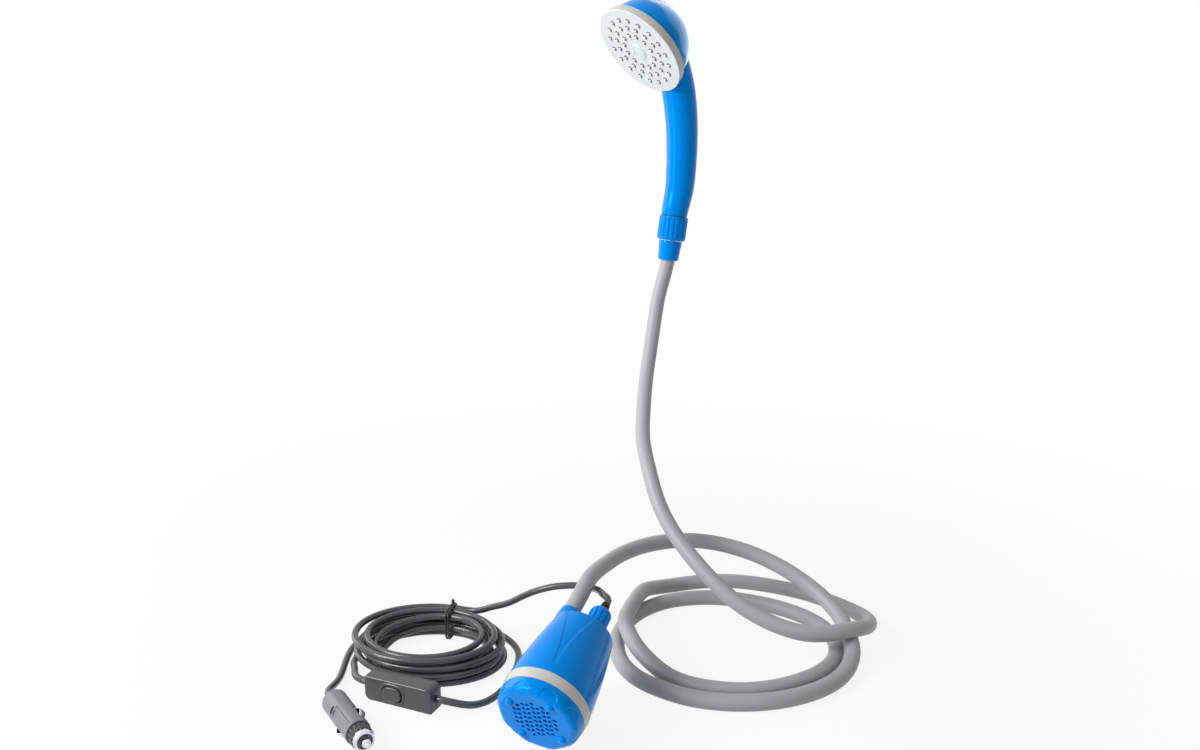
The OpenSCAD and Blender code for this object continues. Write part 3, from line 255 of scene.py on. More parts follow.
class Dresser:
    """Makes each finish's material once, and hands pieces over to the frame."""

    broad_share, line_share = 1.6, 0.5
    fine_height, line_height = 0.6, 0.4
    bump_strength = 0.6

    def __init__(self) -> None:
        """Starts with no materials."""
        self.made: dict[str, bpy.types.Material] = {}

    def material(self, finish: Finish) -> bpy.types.Material:
        """The finish's material: colour, roughness and bump all vary with noise.

        Args:
            finish: What to make.

        Returns:
            The material, made on the first call.
        """
        if finish.name in self.made:
            return self.made[finish.name]
        material = bpy.data.materials.new(finish.name)
        material.use_nodes = True
        graph = Graph(material.node_tree)
        where = graph.add("ShaderNodeTexCoord", out="UV" if finish.grain is Grain.DRAWN else "Object")
        broad_scale, lines, fine_scale = GRAIN_SCALES[finish.grain]
        broad = graph.noise(where, broad_scale, 4.0)
        line = graph.noise(graph.stretch(where, lines), 1.0)
        fine = graph.noise(where, fine_scale)
        share = 0.5 + (broad - 0.5) * self.broad_share + (line - 0.5) * self.line_share
        rough = finish.roughness + (line - 0.5) * finish.spread * 2.0 + (broad - 0.5) * finish.spread * 2.0
        height = fine * self.fine_height + line * self.line_height
        bump = graph.add("ShaderNodeBump", {},
                         {"Strength": self.bump_strength, "Distance": finish.depth, "Height": height})
        shader = graph.add("ShaderNodeBsdfPrincipled", {}, {
            "Base Color": graph.mix(share.at_least(0.0).at_most(1.0), finish.colour, finish.shade),
            "Roughness": rough, "Metallic": finish.metallic, "Specular IOR Level": finish.specular,
            "Specular Tint": (*finish.tint, 1.0), "Normal": bump})
        graph.add("ShaderNodeOutputMaterial", {}, {"Surface": shader})
        self.made[finish.name] = material
        return material

    def piece(self, obj: Object, finish: Finish, body: str, *nodes: str) -> Object:
        """Dresses a new piece, hangs it on its body and hides what it stands for.

        Args:
            obj: The piece.
            finish: Its finish.
            body: The CAD body that it moves with.
            nodes: CAD nodes that it replaces.

        Returns:
            The same object.
        """
        obj.data.materials.append(self.material(finish))
        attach(obj, body)
        if nodes:
            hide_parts(*nodes)
        LOG.info("%s: %d faces", obj.name, len(obj.data.polygons))
        return obj

    def carry_over(self, finish: Finish, *nodes: str) -> None:
        """Gives CAD nodes that stay as they are a finish.

        Args:
            finish: The finish.
            nodes: The CAD nodes.
        """
        for node in nodes:
            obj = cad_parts[node]
            obj.data.materials.clear()
            obj.data.materials.append(self.material(finish))


def turned(axis: Axis, degrees: float) -> Array:
    """Matrix that turns points about one axis.

    Args:
        axis: The axis.
        degrees: How far, by the right hand.

    Returns:
        The matrix, 3 by 3.
    """
    c, s = math.cos(math.radians(degrees)), math.sin(math.radians(degrees))
    return np.array({Axis.X: ((1, 0, 0), (0, c, -s), (0, s, c)), Axis.Y: ((c, 0, s), (0, 1, 0), (-s, 0, c)),
                     Axis.Z: ((c, -s, 0), (s, c, 0), (0, 0, 1))}[axis])


@dataclass(frozen=True)
class Place:
    """A local frame in millimetres: where its origin lies and which way its axes point."""

    origin: Array
    axes: Array

    def at(self, points: Array) -> Array:
        """Local points in the row frame, in millimetres."""
        return np.asarray(points, dtype=float) @ self.axes.T + self.origin

    def into(self, points: Array) -> Array:
        """Points of the row frame in this one."""
        return (points - self.origin) @ self.axes

    def within(self, shift: tuple, turn: Array) -> "Place":
        """A frame given in this one."""
        return Place(self.at(shift), self.axes @ turn)


RISE = 20.0
CAP_R, CAP_RIM = 29.2, 4.4
RIM_R = CAP_R - CAP_RIM - 0.6
PUMP_Z = RIM_R * math.cos(math.radians(RISE)) + CAP_RIM - CAP_RIM * math.sin(math.radians(RISE))
WORLD_AT = Place(np.zeros(3), np.eye(3))
PUMP_AT = Place(np.array((-49.0, -159.5, PUMP_Z)), turned(Axis.Z, -23.8) @ turned(Axis.X, RISE - 90.0))
HANDSET_AT = Place(np.array((55.0, 153.8, 314.6)), turned(Axis.Z, 213.7) @ turned(Axis.Y, -9.3))
FACE_AT = HANDSET_AT.within((59.0, 0.0, 125.6), turned(Axis.Y, 140.5))
SWITCH_AT = Place(np.array((-145.4, -94.5, 0.0)), turned(Axis.Z, -23.3))
PLUG_AT = Place(np.array((-187.5, -110.9, 8.7)),
                turned(Axis.Z, -57.0) @ turned(Axis.Y, 90.0) @ turned(Axis.Z, 38.0))
COIL_AT = Place(np.array((-133.0, -35.4, 0.0)), turned(Axis.Z, -12.0))
FLOOR_SHIFT = np.array((-1.0, 0.1, 0.0))
COLLAR_XY, GLAND_XY = (-11.3, -9.8), (9.3, -8.3)


def shown(name: str, data: bpy.types.ID) -> Object:
    """Puts a new object into the scene.

    Args:
        name: Its name.
        data: Its mesh, curve, light or camera.

    Returns:
        The object.
    """
    obj = bpy.data.objects.new(name, data)
    bpy.context.scene.collection.objects.link(obj)
    return obj


def mesh_object(name: str, points: Array, quads: Array, triangles: Array, uv: Array, sharp: float) -> Object:
    """Makes a smooth mesh object at the origin.

    Args:
        name: The object's name.
        points: Its points, in metres.
        quads: Corners of the faces of four.
        triangles: Corners of the faces of three.
        uv: UV of each corner, those of the quads first.
        sharp: Edges bent further than this stay sharp, in degrees.

    Returns:
        The object.
    """
    corners = np.concatenate([quads.ravel(), triangles.ravel()]).astype(np.int32)
    starts = np.concatenate([np.arange(len(quads)) * 4, len(quads) * 4 + np.arange(len(triangles)) * 3])
    mesh = bpy.data.meshes.new(name)
    mesh.vertices.add(len(points))
    mesh.vertices.foreach_set("co", points.astype(np.float32).ravel())
    mesh.loops.add(len(corners))
    mesh.loops.foreach_set("vertex_index", corners)
    mesh.polygons.add(len(starts))
    mesh.polygons.foreach_set("loop_start", starts.astype(np.int32))
    mesh.update(calc_edges=True)
    mesh.polygons.foreach_set("use_smooth", np.ones(len(starts), dtype=bool))
    mesh.uv_layers.new(name="UVMap").data.foreach_set("uv", uv.astype(np.float32).ravel())
    mesh.set_sharp_from_angle(angle=math.radians(sharp))
    return shown(name, mesh)


def surface(name: str, place: Place, rows: Array, ends: Ends = Ends.POINT, spans: Array | None = None,
            sharp: float = SHARP) -> Object:
    """Puts rings of points into a mesh, with faces outwards and a UV map round and along it.

    Ring i joins ring i + 1 by quads all the way round. POINT closes the first and the last ring by a fan to
    its own mean, LOOP joins the last ring to the first as on a torus. A leading axis holds copies for the
    same mesh.

    Args:
        name: The object's name.
        place: Frame that the rows are given in.
        rows: Points as (rings, around, 3) or (copies, rings, around, 3), in millimetres.
        ends: How the ends close.
        spans: Each ring's distance along the piece for the UV map, in metres.
        sharp: Edges bent further than this stay sharp, in degrees.

    Returns:
        The object, at the origin.
    """
    grid = rows[None] if rows.ndim == 3 else rows
    copies, rings, around, _ = grid.shape
    spans = np.linspace(0.0, 1.0, rings) if spans is None else spans
    ids = np.arange(rings * around).reshape(rings, around)
    first, last = (ids, np.roll(ids, -1, 0)) if ends is Ends.LOOP else (ids[:-1], ids[1:])
    quads = np.stack([first, np.roll(first, -1, 1), np.roll(last, -1, 1), last], -1).reshape(-1, 4)
    turn = np.arange(around) / around
    next_span = np.append(spans[1:], spans[-1] + UV_SEAM)
    u, v, v_next = np.broadcast_arrays(turn, spans[:len(first), None], next_span[:len(first), None])
    u_next = u + 1.0 / around
    quad_uv = np.stack([np.stack([u, u_next, u_next, u], -1), np.stack([v, v, v_next, v_next], -1)], -1)
    quad_uv = quad_uv.reshape(-1, 4, 2)
    points = grid.reshape(copies, -1, 3)
    triangles, triangle_uv = np.zeros((0, 3), int), np.zeros((0, 3, 2))
    if ends is Ends.POINT:
        low, high = np.full(around, rings * around), np.full(around, rings * around + 1)
        triangles = np.concatenate([np.stack([np.roll(ids[0], -1), ids[0], low], -1),
                                    np.stack([ids[-1], np.roll(ids[-1], -1), high], -1)])
        flat = np.stack([turn, turn + 1.0 / around, turn], -1)
        triangle_uv = np.stack([np.concatenate([flat, flat]),
                                np.repeat((spans[0], spans[-1]), around)[:, None] * np.ones((1, 3))], -1)
        points = np.concatenate([points, grid[:, 0].mean(1)[:, None], grid[:, -1].mean(1)[:, None]], 1)
    per_copy = points.shape[1]
    world = place.at(points.reshape(-1, 3)) * MM
    fans = np.concatenate([quads[:, (0, 1, 2)], quads[:, (0, 2, 3)], triangles])
    corner = (world[:per_copy] - world[:per_copy].mean(0))[fans]
    if np.einsum("ij,ij->", corner[:, 0], np.cross(corner[:, 1], corner[:, 2])) < 0.0:
        quads, quad_uv = quads[:, ::-1], quad_uv[:, ::-1]
        triangles, triangle_uv = triangles[:, ::-1], triangle_uv[:, ::-1]
    shift = (np.arange(copies) * per_copy)[:, None, None]
    uv = np.concatenate([np.tile(part, (copies, 1, 1)).reshape(-1, 2) for part in (quad_uv, triangle_uv)])
    quads = (quads[None] + shift).reshape(-1, 4)
    triangles = (triangles[None] + shift).reshape(-1, 3)
    return mesh_object(name, world, quads, triangles, uv, sharp)


def angles(count: int) -> Array:
    """Evenly spaced angles once round, in radians."""
    return np.linspace(0.0, 2.0 * np.pi, count, endpoint=False)


def circle(r: Array | float, angle: Array) -> Array:
    """Points at a radius and angles about the z axis, at z = 0."""
    return np.stack([r * np.cos(angle), r * np.sin(angle), 0.0 * angle], -1)


def joined(*runs: Array | tuple) -> Array:
    """Runs of points, one after the other."""
    return np.concatenate(runs)


def lathe(profile: Array, around: int) -> Array:
    """Rings of a body of revolution: each profile point (r, z) goes once round the z axis.

    Args:
        profile: The points (r, z).
        around: Points in a ring.

    Returns:
        The rings, (points, around, 3).
    """
    angle = angles(around)
    r, z = profile[:, 0, None], profile[:, 1, None]
    return np.stack([r * np.cos(angle), r * np.sin(angle), z + 0.0 * angle], -1)


def arc(centre: Pair, r: float, start: float, end: float, count: int) -> Array:
    """Points of a circle's arc in a profile, from one angle in degrees to another."""
    angle = np.radians(np.linspace(start, end, count))
    return np.stack([centre[0] + r * np.cos(angle), centre[1] + r * np.sin(angle)], -1)


def line(start: Pair, end: Pair, count: int) -> Array:
    """Evenly spaced points of a straight run in a profile."""
    return np.linspace(start, end, count)


def smooth(x: Array) -> Array:
    """0 below 0, 1 above 1, and 3 x^2 - 2 x^3 between."""
    c = np.clip(x, 0.0, 1.0)
    return c * c * (3.0 - 2.0 * c)


def wrapped(angle: Array) -> Array:
    """Angles in degrees brought to -180..180."""
    return (angle + 180.0) % 360.0 - 180.0


def polar(rows: Array) -> tuple[Array, Array, Array]:
    """Radius, angle in degrees and height of points about the z axis."""
    x, y, z = np.moveaxis(rows, -1, 0)
    return np.hypot(x, y), np.degrees(np.arctan2(y, x)), z


def narrowed(rows: Array, by: Array) -> Array:
    """Points brought nearer to the z axis, each by its own amount."""
    scale = 1.0 - by / np.maximum(np.hypot(rows[..., 0], rows[..., 1]), TINY)
    return rows * np.stack([scale, scale, np.ones_like(scale)], -1)


def ribbed(rows: Array, count: int, depth: float, width: float, beyond: float,
           fade: Array | float = 1.0) -> Array:
    """Sinks rounded grooves along a body of revolution, depth * exp(-(a / width)^4) deep.

    Args:
        rows: Rings of the body.
        count: Grooves round it.
        depth: How deep they are.
        width: How wide, where a goes from -1 to 1 over one groove and its rib.
        beyond: Radius that the body has to have for a groove.
        fade: Share of the depth at each point.

    Returns:
        The grooved rings.
    """
    r, angle, _ = polar(rows)
    across = wrapped(angle * count) / 180.0
    return narrowed(rows, depth * np.exp(-(across / width) ** 4) * fade * (r > beyond))


def even(path: Array, step: float) -> Array:
    """The same path with points at even distances.

    Args:
        path: Its points.
        step: About how far apart the new points are.

    Returns:
        The new points.
    """
    run = np.append(0.0, np.cumsum(np.linalg.norm(np.diff(path, axis=0), axis=1)))
    at = np.linspace(0.0, run[-1], max(2, int(round(run[-1] / step)) + 1))
    return np.stack([np.interp(at, run, path[:, i]) for i in range(path.shape[1])], -1)


def spline(points: Array, step: float) -> Array:
    """Natural cubic spline through points by chord length, with points at even distances.

    Args:
        points: Points that the curve goes through, (count, 3).
        step: Distance between the returned points.

    Returns:
        The curve's points.
    """
    points = np.asarray(points, dtype=float)
    chord = np.diff(points, axis=0)
    gap = np.linalg.norm(chord, axis=1)
    knot = np.append(0.0, np.cumsum(gap))
    count = len(points)
    inner = np.arange(1, count - 1)
    matrix = np.eye(count)
    matrix[inner, inner - 1] = gap[:-1]
    matrix[inner, inner] = 2.0 * (gap[:-1] + gap[1:])
    matrix[inner, inner + 1] = gap[1:]
    slope = chord / gap[:, None]
    right = np.zeros_like(points)
    right[1:-1] = 6.0 * np.diff(slope, axis=0)
    bend = np.linalg.solve(matrix, right)
    at = np.linspace(0.0, knot[-1], int(knot[-1] / step * 4.0) + 2)
    i = np.clip(np.searchsorted(knot, at, "right") - 1, 0, count - 2)
    a = ((knot[i + 1] - at) / gap[i])[:, None]
    b = 1.0 - a
    curve = a * points[i] + b * points[i + 1] + ((a ** 3 - a) * bend[i] + (b ** 3 - b) * bend[i + 1]) * (
        gap[i] ** 2)[:, None] / 6.0
    return even(curve, step)


def unit(vectors: Array) -> Array:
    """Vectors at length one."""
    return vectors / np.linalg.norm(vectors, axis=-1, keepdims=True)


def tube(path: Array, radius: float | Array, around: int) -> Array:
    """Rings of a tube: circles square to the path, carried along it without twist.

    A side vector is chosen at each point on its own. The angle between it and the one carried over from the
    point before is summed along the path, and turns every circle back into line.

    Args:
        path: Centre line, (count, 3).
        radius: One radius, or one for each point.
        around: Points in a ring.

    Returns:
        The rings, (count, around, 3).
    """
    ahead = unit(np.gradient(path, axis=0))
    helper = np.eye(3)[np.argmin(np.abs(ahead), axis=1)]
    side = unit(helper - (helper * ahead).sum(-1, keepdims=True) * ahead)
    turn = np.cross(ahead[:-1], ahead[1:])
    cosine = (ahead[:-1] * ahead[1:]).sum(-1, keepdims=True)
    along = (turn * side[:-1]).sum(-1, keepdims=True)
    carried = side[:-1] * cosine + np.cross(turn, side[:-1]) + turn * along / (1.0 + cosine)
    angle = np.arctan2((np.cross(side[1:], carried) * ahead[1:]).sum(-1), (side[1:] * carried).sum(-1))
    twist = np.append(0.0, np.cumsum(angle))[:, None]
    normal = side * np.cos(twist) + np.cross(ahead, side) * np.sin(twist)
    other = np.cross(ahead, normal)
    round_by = angles(around)[None, :, None]
    size = np.broadcast_to(np.asarray(radius, dtype=float), (len(path),))[:, None, None]
    return path[:, None] + size * (np.cos(round_by) * normal[:, None] + np.sin(round_by) * other[:, None])


def helix(r: float, height: float, turns: int, wire: float) -> Array:
    """Rings of a coil spring along +z: a tube along (r cos a, r sin a, a part of the height).

    Args:
        r: Radius of the coil's middle line.
        height: Length of the spring.
        turns: Turns of the wire.
        wire: Radius of the wire.

    Returns:
        The rings.
    """
    a = np.linspace(0.0, 2.0 * np.pi * turns, WIRE_STEPS * turns + 1)
    rise = wire + (height - 2.0 * wire) * a / a[-1]
    return tube(np.stack([r * np.cos(a), r * np.sin(a), rise], -1), wire, WIRE_AROUND)


def path_length(path: Array) -> float:
    """Length of a path of points."""
    return float(np.linalg.norm(np.diff(path, axis=0), axis=1).sum())


HOSE_ROUTE = np.array((
    (-14, -43, 71), (-5, -22, 70), (8, 3, 68), (26, 25, 66), (48, 40, 64), (71, 46, 62), (94, 44, 59),
    (116, 38, 54), (137, 28, 47), (154, 17, 39), (167, 4, 31.5), (176, -11, 24), (179.5, -27, 18),
    (179.5, -43, 12.5), (173.5, -59, 8), (160, -76.5, 6), (138, -93, 6), (111, -103, 6), (84, -105, 6),
    (58, -100, 6), (36, -88, 6), (19, -72, 6), (9, -52, 6), (5.5, -31, 6), (6.5, -10, 6), (13, 12, 6),
    (26, 33, 6), (46, 50, 6), (72, 58, 6), (98, 57, 6), (124, 48, 6), (146, 34, 6), (162, 16, 6),
    (171, -5, 6), (171.5, -27, 6), (164.5, -48.5, 6), (148, -68, 6), (122, -83.5, 6), (96, -90, 6),
    (70, -87, 6), (48, -76, 6), (31, -58, 9), (20, -45, 15.5), (14, -29, 19.5), (12, -11, 20), (16, 9, 20),
    (22, 29, 19.5), (29, 49, 17), (42, 68, 11), (62, 84, 6.5), (87, 91, 6), (112, 90, 6), (140, 81, 6),
    (165, 67, 6), (186, 48, 6), (199, 28, 7.5), (203, 5, 12), (197, -16, 18), (186, -31, 23.5),
    (168, -41, 25.5), (146, -45, 26.5), (125, -41, 30.5), (107, -33, 36.5), (90, -23, 45.5), (74, -10, 57.5),
    (60, 5, 70), (48, 20, 83.5), (39, 34, 99), (32, 55, 120), (28, 77, 139), (29, 96, 159), (31.5, 113, 180),
    (35.5, 127, 203), (39.5, 138, 227), (43.5, 146, 248)))
LEAD_ROUTE = np.array((
    (-4.5, -71, 69.4), (-6.6, -63.5, 68), (-8.8, -54, 65.4), (-12, -45, 62.4), (-18, -38.5, 61),
    (-26.5, -35.5, 60.4), (-39, -33, 58.6), (-52, -29, 54), (-66, -21.5, 45), (-79, -13, 35), (-92, -5, 28)))
SWITCH_ROUTE = np.array(((-186.4, -57, 5), (-183.6, -68, 6.8), (-178, -78, 8.6)))
PLUG_ROUTE = np.array((
    (-106, -107.6, 7), (-96, -105, 4), (-85.5, -97.5, 2.6), (-76.5, -83.5, 2.6), (-70.5, -65, 2.6),
    (-68.5, -46, 2.6), (-69.5, -28, 2.6), (-77, -11, 2.6), (-91, 4.5, 2.6), (-110.5, 15.5, 2.6),
    (-133, 20, 2.6), (-156, 19, 2.6), (-175, 11, 2.6), (-188.5, -2, 2.6), (-195.5, -18, 2.6),
    (-196.8, -34, 2.6), (-196, -50, 2.6), (-195, -66, 3.4), (-195.5, -82, 6)))


@dataclass
class Assembly:
    """Pieces that are given in one place and mostly ride one body."""

    dresser: Dresser
    place: Place = WORLD_AT
    body: str = "base"

    def add(self, name: str, rows: Array, finish: Finish, *nodes: str, body: str = "",
            place: Place | None = None, ends: Ends = Ends.POINT, spans: Array | None = None,
            sharp: float = SHARP) -> Object:
        """Makes one piece from rings of points.

        Args:
            name: The piece's name.
            rows: Its rings, as for surface.
            finish: Its finish.
            nodes: CAD nodes that it replaces.
            body: The body that it rides, where that isn't the assembly's.
            place: The frame of the rows, where that isn't the assembly's.
            ends: How the ends close.
            spans: Each ring's distance along the piece, in metres.
            sharp: Edges bent further than this stay sharp, in degrees.

        Returns:
            The piece.
        """
        obj = surface(name, place or self.place, rows, ends, spans, sharp)
        return self.dresser.piece(obj, finish, body or self.body, *nodes)


@dataclass
class Laid(Assembly):
    """Cords and hoses: round tubes along smooth curves."""

    radius: float = 2.5
    around: int = 20
    step: float = 2.6

    def lay(self, name: str, route: Array, finish: Finish, *nodes: str) -> tuple[Object, list[tuple]]:
        """Lays one tube along a smooth curve.

        Args:
            name: The piece's name.
            route: Points that the curve goes through.
            finish: Its finish.
            nodes: CAD nodes that it replaces.

        Returns:
            The piece, and the points of its centre line in metres.
        """
        path = spline(route, self.step)
        length = path_length(path) * MM
        LOG.info("%s %.3f m", name, length)
        spans = np.linspace(0.0, length, len(path))
        piece = self.add(name, tube(path, self.radius, self.around), finish, *nodes, spans=spans)
        return piece, [tuple(point) for point in path * MM]


@dataclass
class Pump(Assembly):
    """Tapered pump body: casing with its sunk V, hose collar, pale band, strainer cap and cable gland."""

    place: Place = PUMP_AT
    casing_z: float = 17.0
    side_l: float = 58.0
    base_r: float = 29.8
    edge_r: float = 22.2
    fullness: float = 1.45
    shoulder: float = 1.4
    flat_top_r: float = 15.0
    v_foot: float = 25.6
    v_foot_drop: float = 0.6
    v_foot_slope: float = 0.8
    v_length: float = 44.4
    v_most: float = 1.3
    v_turn: float = -76.4
    v_drift: float = 6.2
    v_least: float = 2.6
    v_spread: float = 19.6
    v_depth: float = 0.38
    v_wall: float = 1.3
    hollows: int = 9
    hollow_turn: float = 103.0
    hollow_r: float = 28.6
    hollow_half: Pair = (6.8, 7.2)
    hollow_drop: float = 0.6
    hollow_edge: float = 0.09
    hollow_depth: float = 0.6
    stud_ring_r: float = 20.5
    stud_turn: float = 38.0
    stud_r: float = 2.9
    stud_h: float = 2.2
    grille_r: float = 17.5
    grille_margin: float = 1.8
    grille_half: float = 0.8
    grille_z: float = 0.86
    slot_pitch: Pair = (3.5, 4.0)
    slot_slope: float = 1.2
    slot_stagger: float = 0.8
    slot_shift: float = 0.5
    slot_half: Pair = (1.7, 1.2)
    slot_bend: float = 0.26
    slot_tilts: Pair = (40.0, -20.0)
    ribs: int = 12
    rib_depth: float = 0.8
    rib_width: float = 0.3

    @property
    def top_z(self) -> float:
        """Height of the casing's top."""
        return self.casing_z + self.side_l + self.shoulder

    def panel(self, rows: Array) -> Array:
        """Sinks the long V on the casing's upper side.

        At height z the V reaches v_least + v_spread s^2 degrees to either side of its middle, with s from 0
        at its foot to 1 near the top. Inside it the radius is v_depth less, over soft walls, and the foot is
        round.

        Args:
            rows: Rings of the casing's outside.

        Returns:
            The sunk rings.
        """
        r, angle, z = polar(rows)
        share = np.clip((z - self.v_foot) / self.v_length, 0.0, self.v_most)
        off = np.abs(wrapped(angle - (self.v_turn - self.v_drift * share)))
        reach = self.v_least + self.v_spread * share ** 2
        above_foot = (z - self.v_foot + self.v_foot_drop) * self.v_foot_slope
        inside = np.minimum(np.radians(reach - off) * r, above_foot)
        sunk = self.v_depth * smooth(0.5 + inside / self.v_wall)
        return narrowed(rows, np.where(r > self.flat_top_r, sunk, 0.0))

    def casing(self) -> None:
        """Casing shell: full taper r = base - (base - edge) t^fullness, rounded shoulder and flat top."""
        t = np.linspace(0.0, 1.0, 120)
        side = np.stack([self.base_r - (self.base_r - self.edge_r) * t ** self.fullness,
                         self.casing_z + 0.4 + (self.side_l - 0.4) * t], -1)
        corner = arc((self.edge_r - self.shoulder, self.top_z - self.shoulder), self.shoulder, 12.0, 90.0, 8)
        outside = joined(((29.4, self.casing_z),), side, corner,
                         line((self.edge_r - 2.4, self.top_z), (0.4, self.top_z), 8))
        inside = np.array(((0.4, 73.2), (17.3, 73.2), (26.6, 28.6), (26.6, self.casing_z)))
        rows = joined(lathe(inside, 600), self.panel(lathe(outside, 600)))
        self.add("casing", rows, BLUE, "pump_casing", sharp=20.0)

    def collar(self) -> None:
        """Collar that the hose goes into: circles from the casing's side that close in on the hose.

        The circles' middles and radii go evenly from one just inside the casing's wall to one round the
        hose, and then over a rolled lip into the bore.
        """
        low, high = np.array((-7.6, -6.6, 58.0)), np.array((*COLLAR_XY, self.top_z + 6.6))
        low_r, high_r = 13.9, 7.2
        t = np.linspace(0.0, 1.0, 24)
        lip = arc((6.65, 7.2), 0.5, 0.0, 180.0, 9)
        r = joined(low_r + (high_r - low_r) * t, lip[:, 0], (6.1, 0.3))
        over = np.append(lip[:, 1], (5.0, 5.0))
        ones = np.ones(len(over))
        middle = joined(low + (high - low) * t[:, None],
                        np.stack([high[0] * ones, high[1] * ones, self.top_z + over], -1))
        self.add("hose_collar", middle[:, None] + r[:, None, None] * circle(1.0, angles(96)), BLUE)

    def band(self) -> None:
        """Pale band between casing and cap, proud of both by a hair, with eased edges."""
        profile = joined(((26.6, 9.4), (29.2, 9.4)), arc((29.3, 9.75), 0.35, -80.0, -5.0, 5),
                         line((29.68, 9.9), (30.25, 15.9), 8), arc((29.95, 16.35), 0.35, 0.0, 60.0, 5),
                         ((29.6, 17.0), (26.6, 17.0)))
        self.add("band", lathe(profile, 256), PALE, "trim_band", ends=Ends.LOOP)

    def cap(self) -> None:
        """Strainer cap: rounded rim with arched grip hollows and an open middle for the grille.

        A hollow is the part of the rim inside an ellipse that is centred below the rim, with a soft edge.
        """
        rows = lathe(joined(((24.4, 9.38), (24.4, 2.0), (self.grille_r, 2.0)),
                            line((self.grille_r, 0.0), (RIM_R, 0.0), 8),
                            arc((RIM_R, CAP_RIM), CAP_RIM, -86.0, -12.0, 36),
                            line((28.54, 3.7), (CAP_R, 9.0), 28), ((28.9, 9.38),)), 720)
        r, angle, z = polar(rows)
        off = np.radians(wrapped((angle + self.hollow_turn) * self.hollows) / self.hollows) * self.hollow_r
        wide, high = self.hollow_half
        inside = 1.0 - np.hypot(off / wide, (z + self.hollow_drop) / high)
        depth = self.hollow_depth * smooth(inside / self.hollow_edge)
        rows = narrowed(rows, np.where(r > RIM_R + 0.2, depth, 0.0))
        self.add("cap", rows, BLUE, "strainer_cap", body="strainer", ends=Ends.LOOP)

    def studs(self) -> None:
        """Four domed feet on the cap's face, each half an ellipsoid."""
        a = np.radians(np.linspace(-6.0, 86.0, 14))
        dome = lathe(np.stack([self.stud_r * np.cos(a), -self.stud_h * np.sin(a)], -1), 48)
        centre = circle(self.stud_ring_r, np.radians(self.stud_turn + 90.0 * np.arange(4)))
        self.add("cap_studs", dome[None] + centre[:, None, None], BLUE, body="strainer")

    def grille(self) -> None:
        """Slotted disc in the cap's middle, with a deeper blue backing behind it whose darker tone is painted
        shade inside the slots.

        The disc is a filled flat outline with staggered, bean-shaped slots that slant one way in even
        columns and the other way in odd ones.
        """
        curve = bpy.data.curves.new("grille_outline", "CURVE")
        curve.dimensions = "2D"
        curve.fill_mode = "BOTH"
        curve.extrude = self.grille_half * MM
        curve.resolution_u = 1
        column, row = (grid.ravel() for grid in np.meshgrid(np.arange(-5, 6), np.arange(-8, 9)))
        stagger = self.slot_stagger * (column % 2) + self.slot_shift - column * self.slot_slope
        centre = np.stack([column * self.slot_pitch[0], row * self.slot_pitch[1] + stagger], -1)
        keep = np.hypot(centre[:, 0], centre[:, 1]) < self.grille_r - self.grille_margin
        end = angles(16)
        slot = np.stack([self.slot_half[0] * np.cos(end),
                         self.slot_half[1] * np.sin(end) + self.slot_bend * np.cos(2.0 * end)], -1)
        tilts = [turned(Axis.Z, degrees)[:2, :2] for degrees in self.slot_tilts]
        outlines = [circle(self.grille_r, angles(128))[:, :2]]
        outlines += [middle + slot @ tilts[odd].T for middle, odd in zip(centre[keep], column[keep] % 2)]
        for outline in outlines:
            part = curve.splines.new("POLY")
            part.points.add(len(outline) - 1)
            flat = np.column_stack([outline * MM, np.zeros(len(outline)), np.ones(len(outline))])
            part.points.foreach_set("co", flat.astype(np.float32).ravel())
            part.use_cyclic_u = True
        holder = shown("grille_outline", curve)
        mesh = bpy.data.meshes.new_from_object(holder.evaluated_get(bpy.context.evaluated_depsgraph_get()))
        bpy.data.objects.remove(holder)
        bpy.data.curves.remove(curve)
        flat = np.empty(len(mesh.vertices) * 3, np.float32)
        mesh.vertices.foreach_get("co", flat)
        local = flat.reshape(-1, 3) / MM + (0.0, 0.0, self.grille_z)
        mesh.vertices.foreach_set("co", (self.place.at(local) * MM).astype(np.float32).ravel())
        mesh.update()
        self.dresser.piece(shown("grille", mesh), BLUE, "strainer")
        # Deeper blue disc behind the slots: painted shade seen through them.
        edge = self.grille_r + 1.0
        back = np.array(((0.3, 2.05), (edge, 2.05), (edge, 2.45), (0.3, 2.45)))
        self.add("strainer_mesh", lathe(back, 64), SLOT_SHADE_BLUE, body="strainer")

    def gland(self) -> None:
        """Ribbed dome nut on the casing's top, and the rubber relief that the cable leaves it by.

        The nut's grooves fade out into the crown.
        """
        place = self.place.within((*GLAND_XY, self.top_z), np.eye(3))
        profile = joined(((5.5, 0.4), (7.3, 0.4)), line((7.75, 0.9), (7.8, 11.0), 22),
                         arc((2.9, 11.3), 4.9, 0.0, 82.0, 20), ((3.45, 15.9), (3.45, 12.0), (5.5, 11.0)))
        rows = lathe(profile, 288)
        fade = smooth((14.0 - rows[..., 2]) / 4.0) * smooth((rows[..., 2] - 0.9) / 0.8)
        rows = ribbed(rows, self.ribs, self.rib_depth, self.rib_width, 5.6, fade)
        self.add("gland_cap", rows, BLUE, "gland_nut", place=place, ends=Ends.LOOP)
        relief = np.array(((0.3, 8.0), (3.35, 8.0), (3.4, 16.6), (3.55, 17.4), (3.4, 18.3), (3.2, 18.7),
                           (3.3, 19.3), (3.05, 20.0), (2.95, 21.8), (2.75, 22.2), (0.3, 22.2)))
        self.add("gland_relief", lathe(relief, 64), RUBBER, "gland_seal", place=place)

    def build(self) -> None:
        """Builds every piece of the pump."""
        for make in (self.casing, self.collar, self.band, self.cap, self.studs, self.grille, self.gland):
            make()


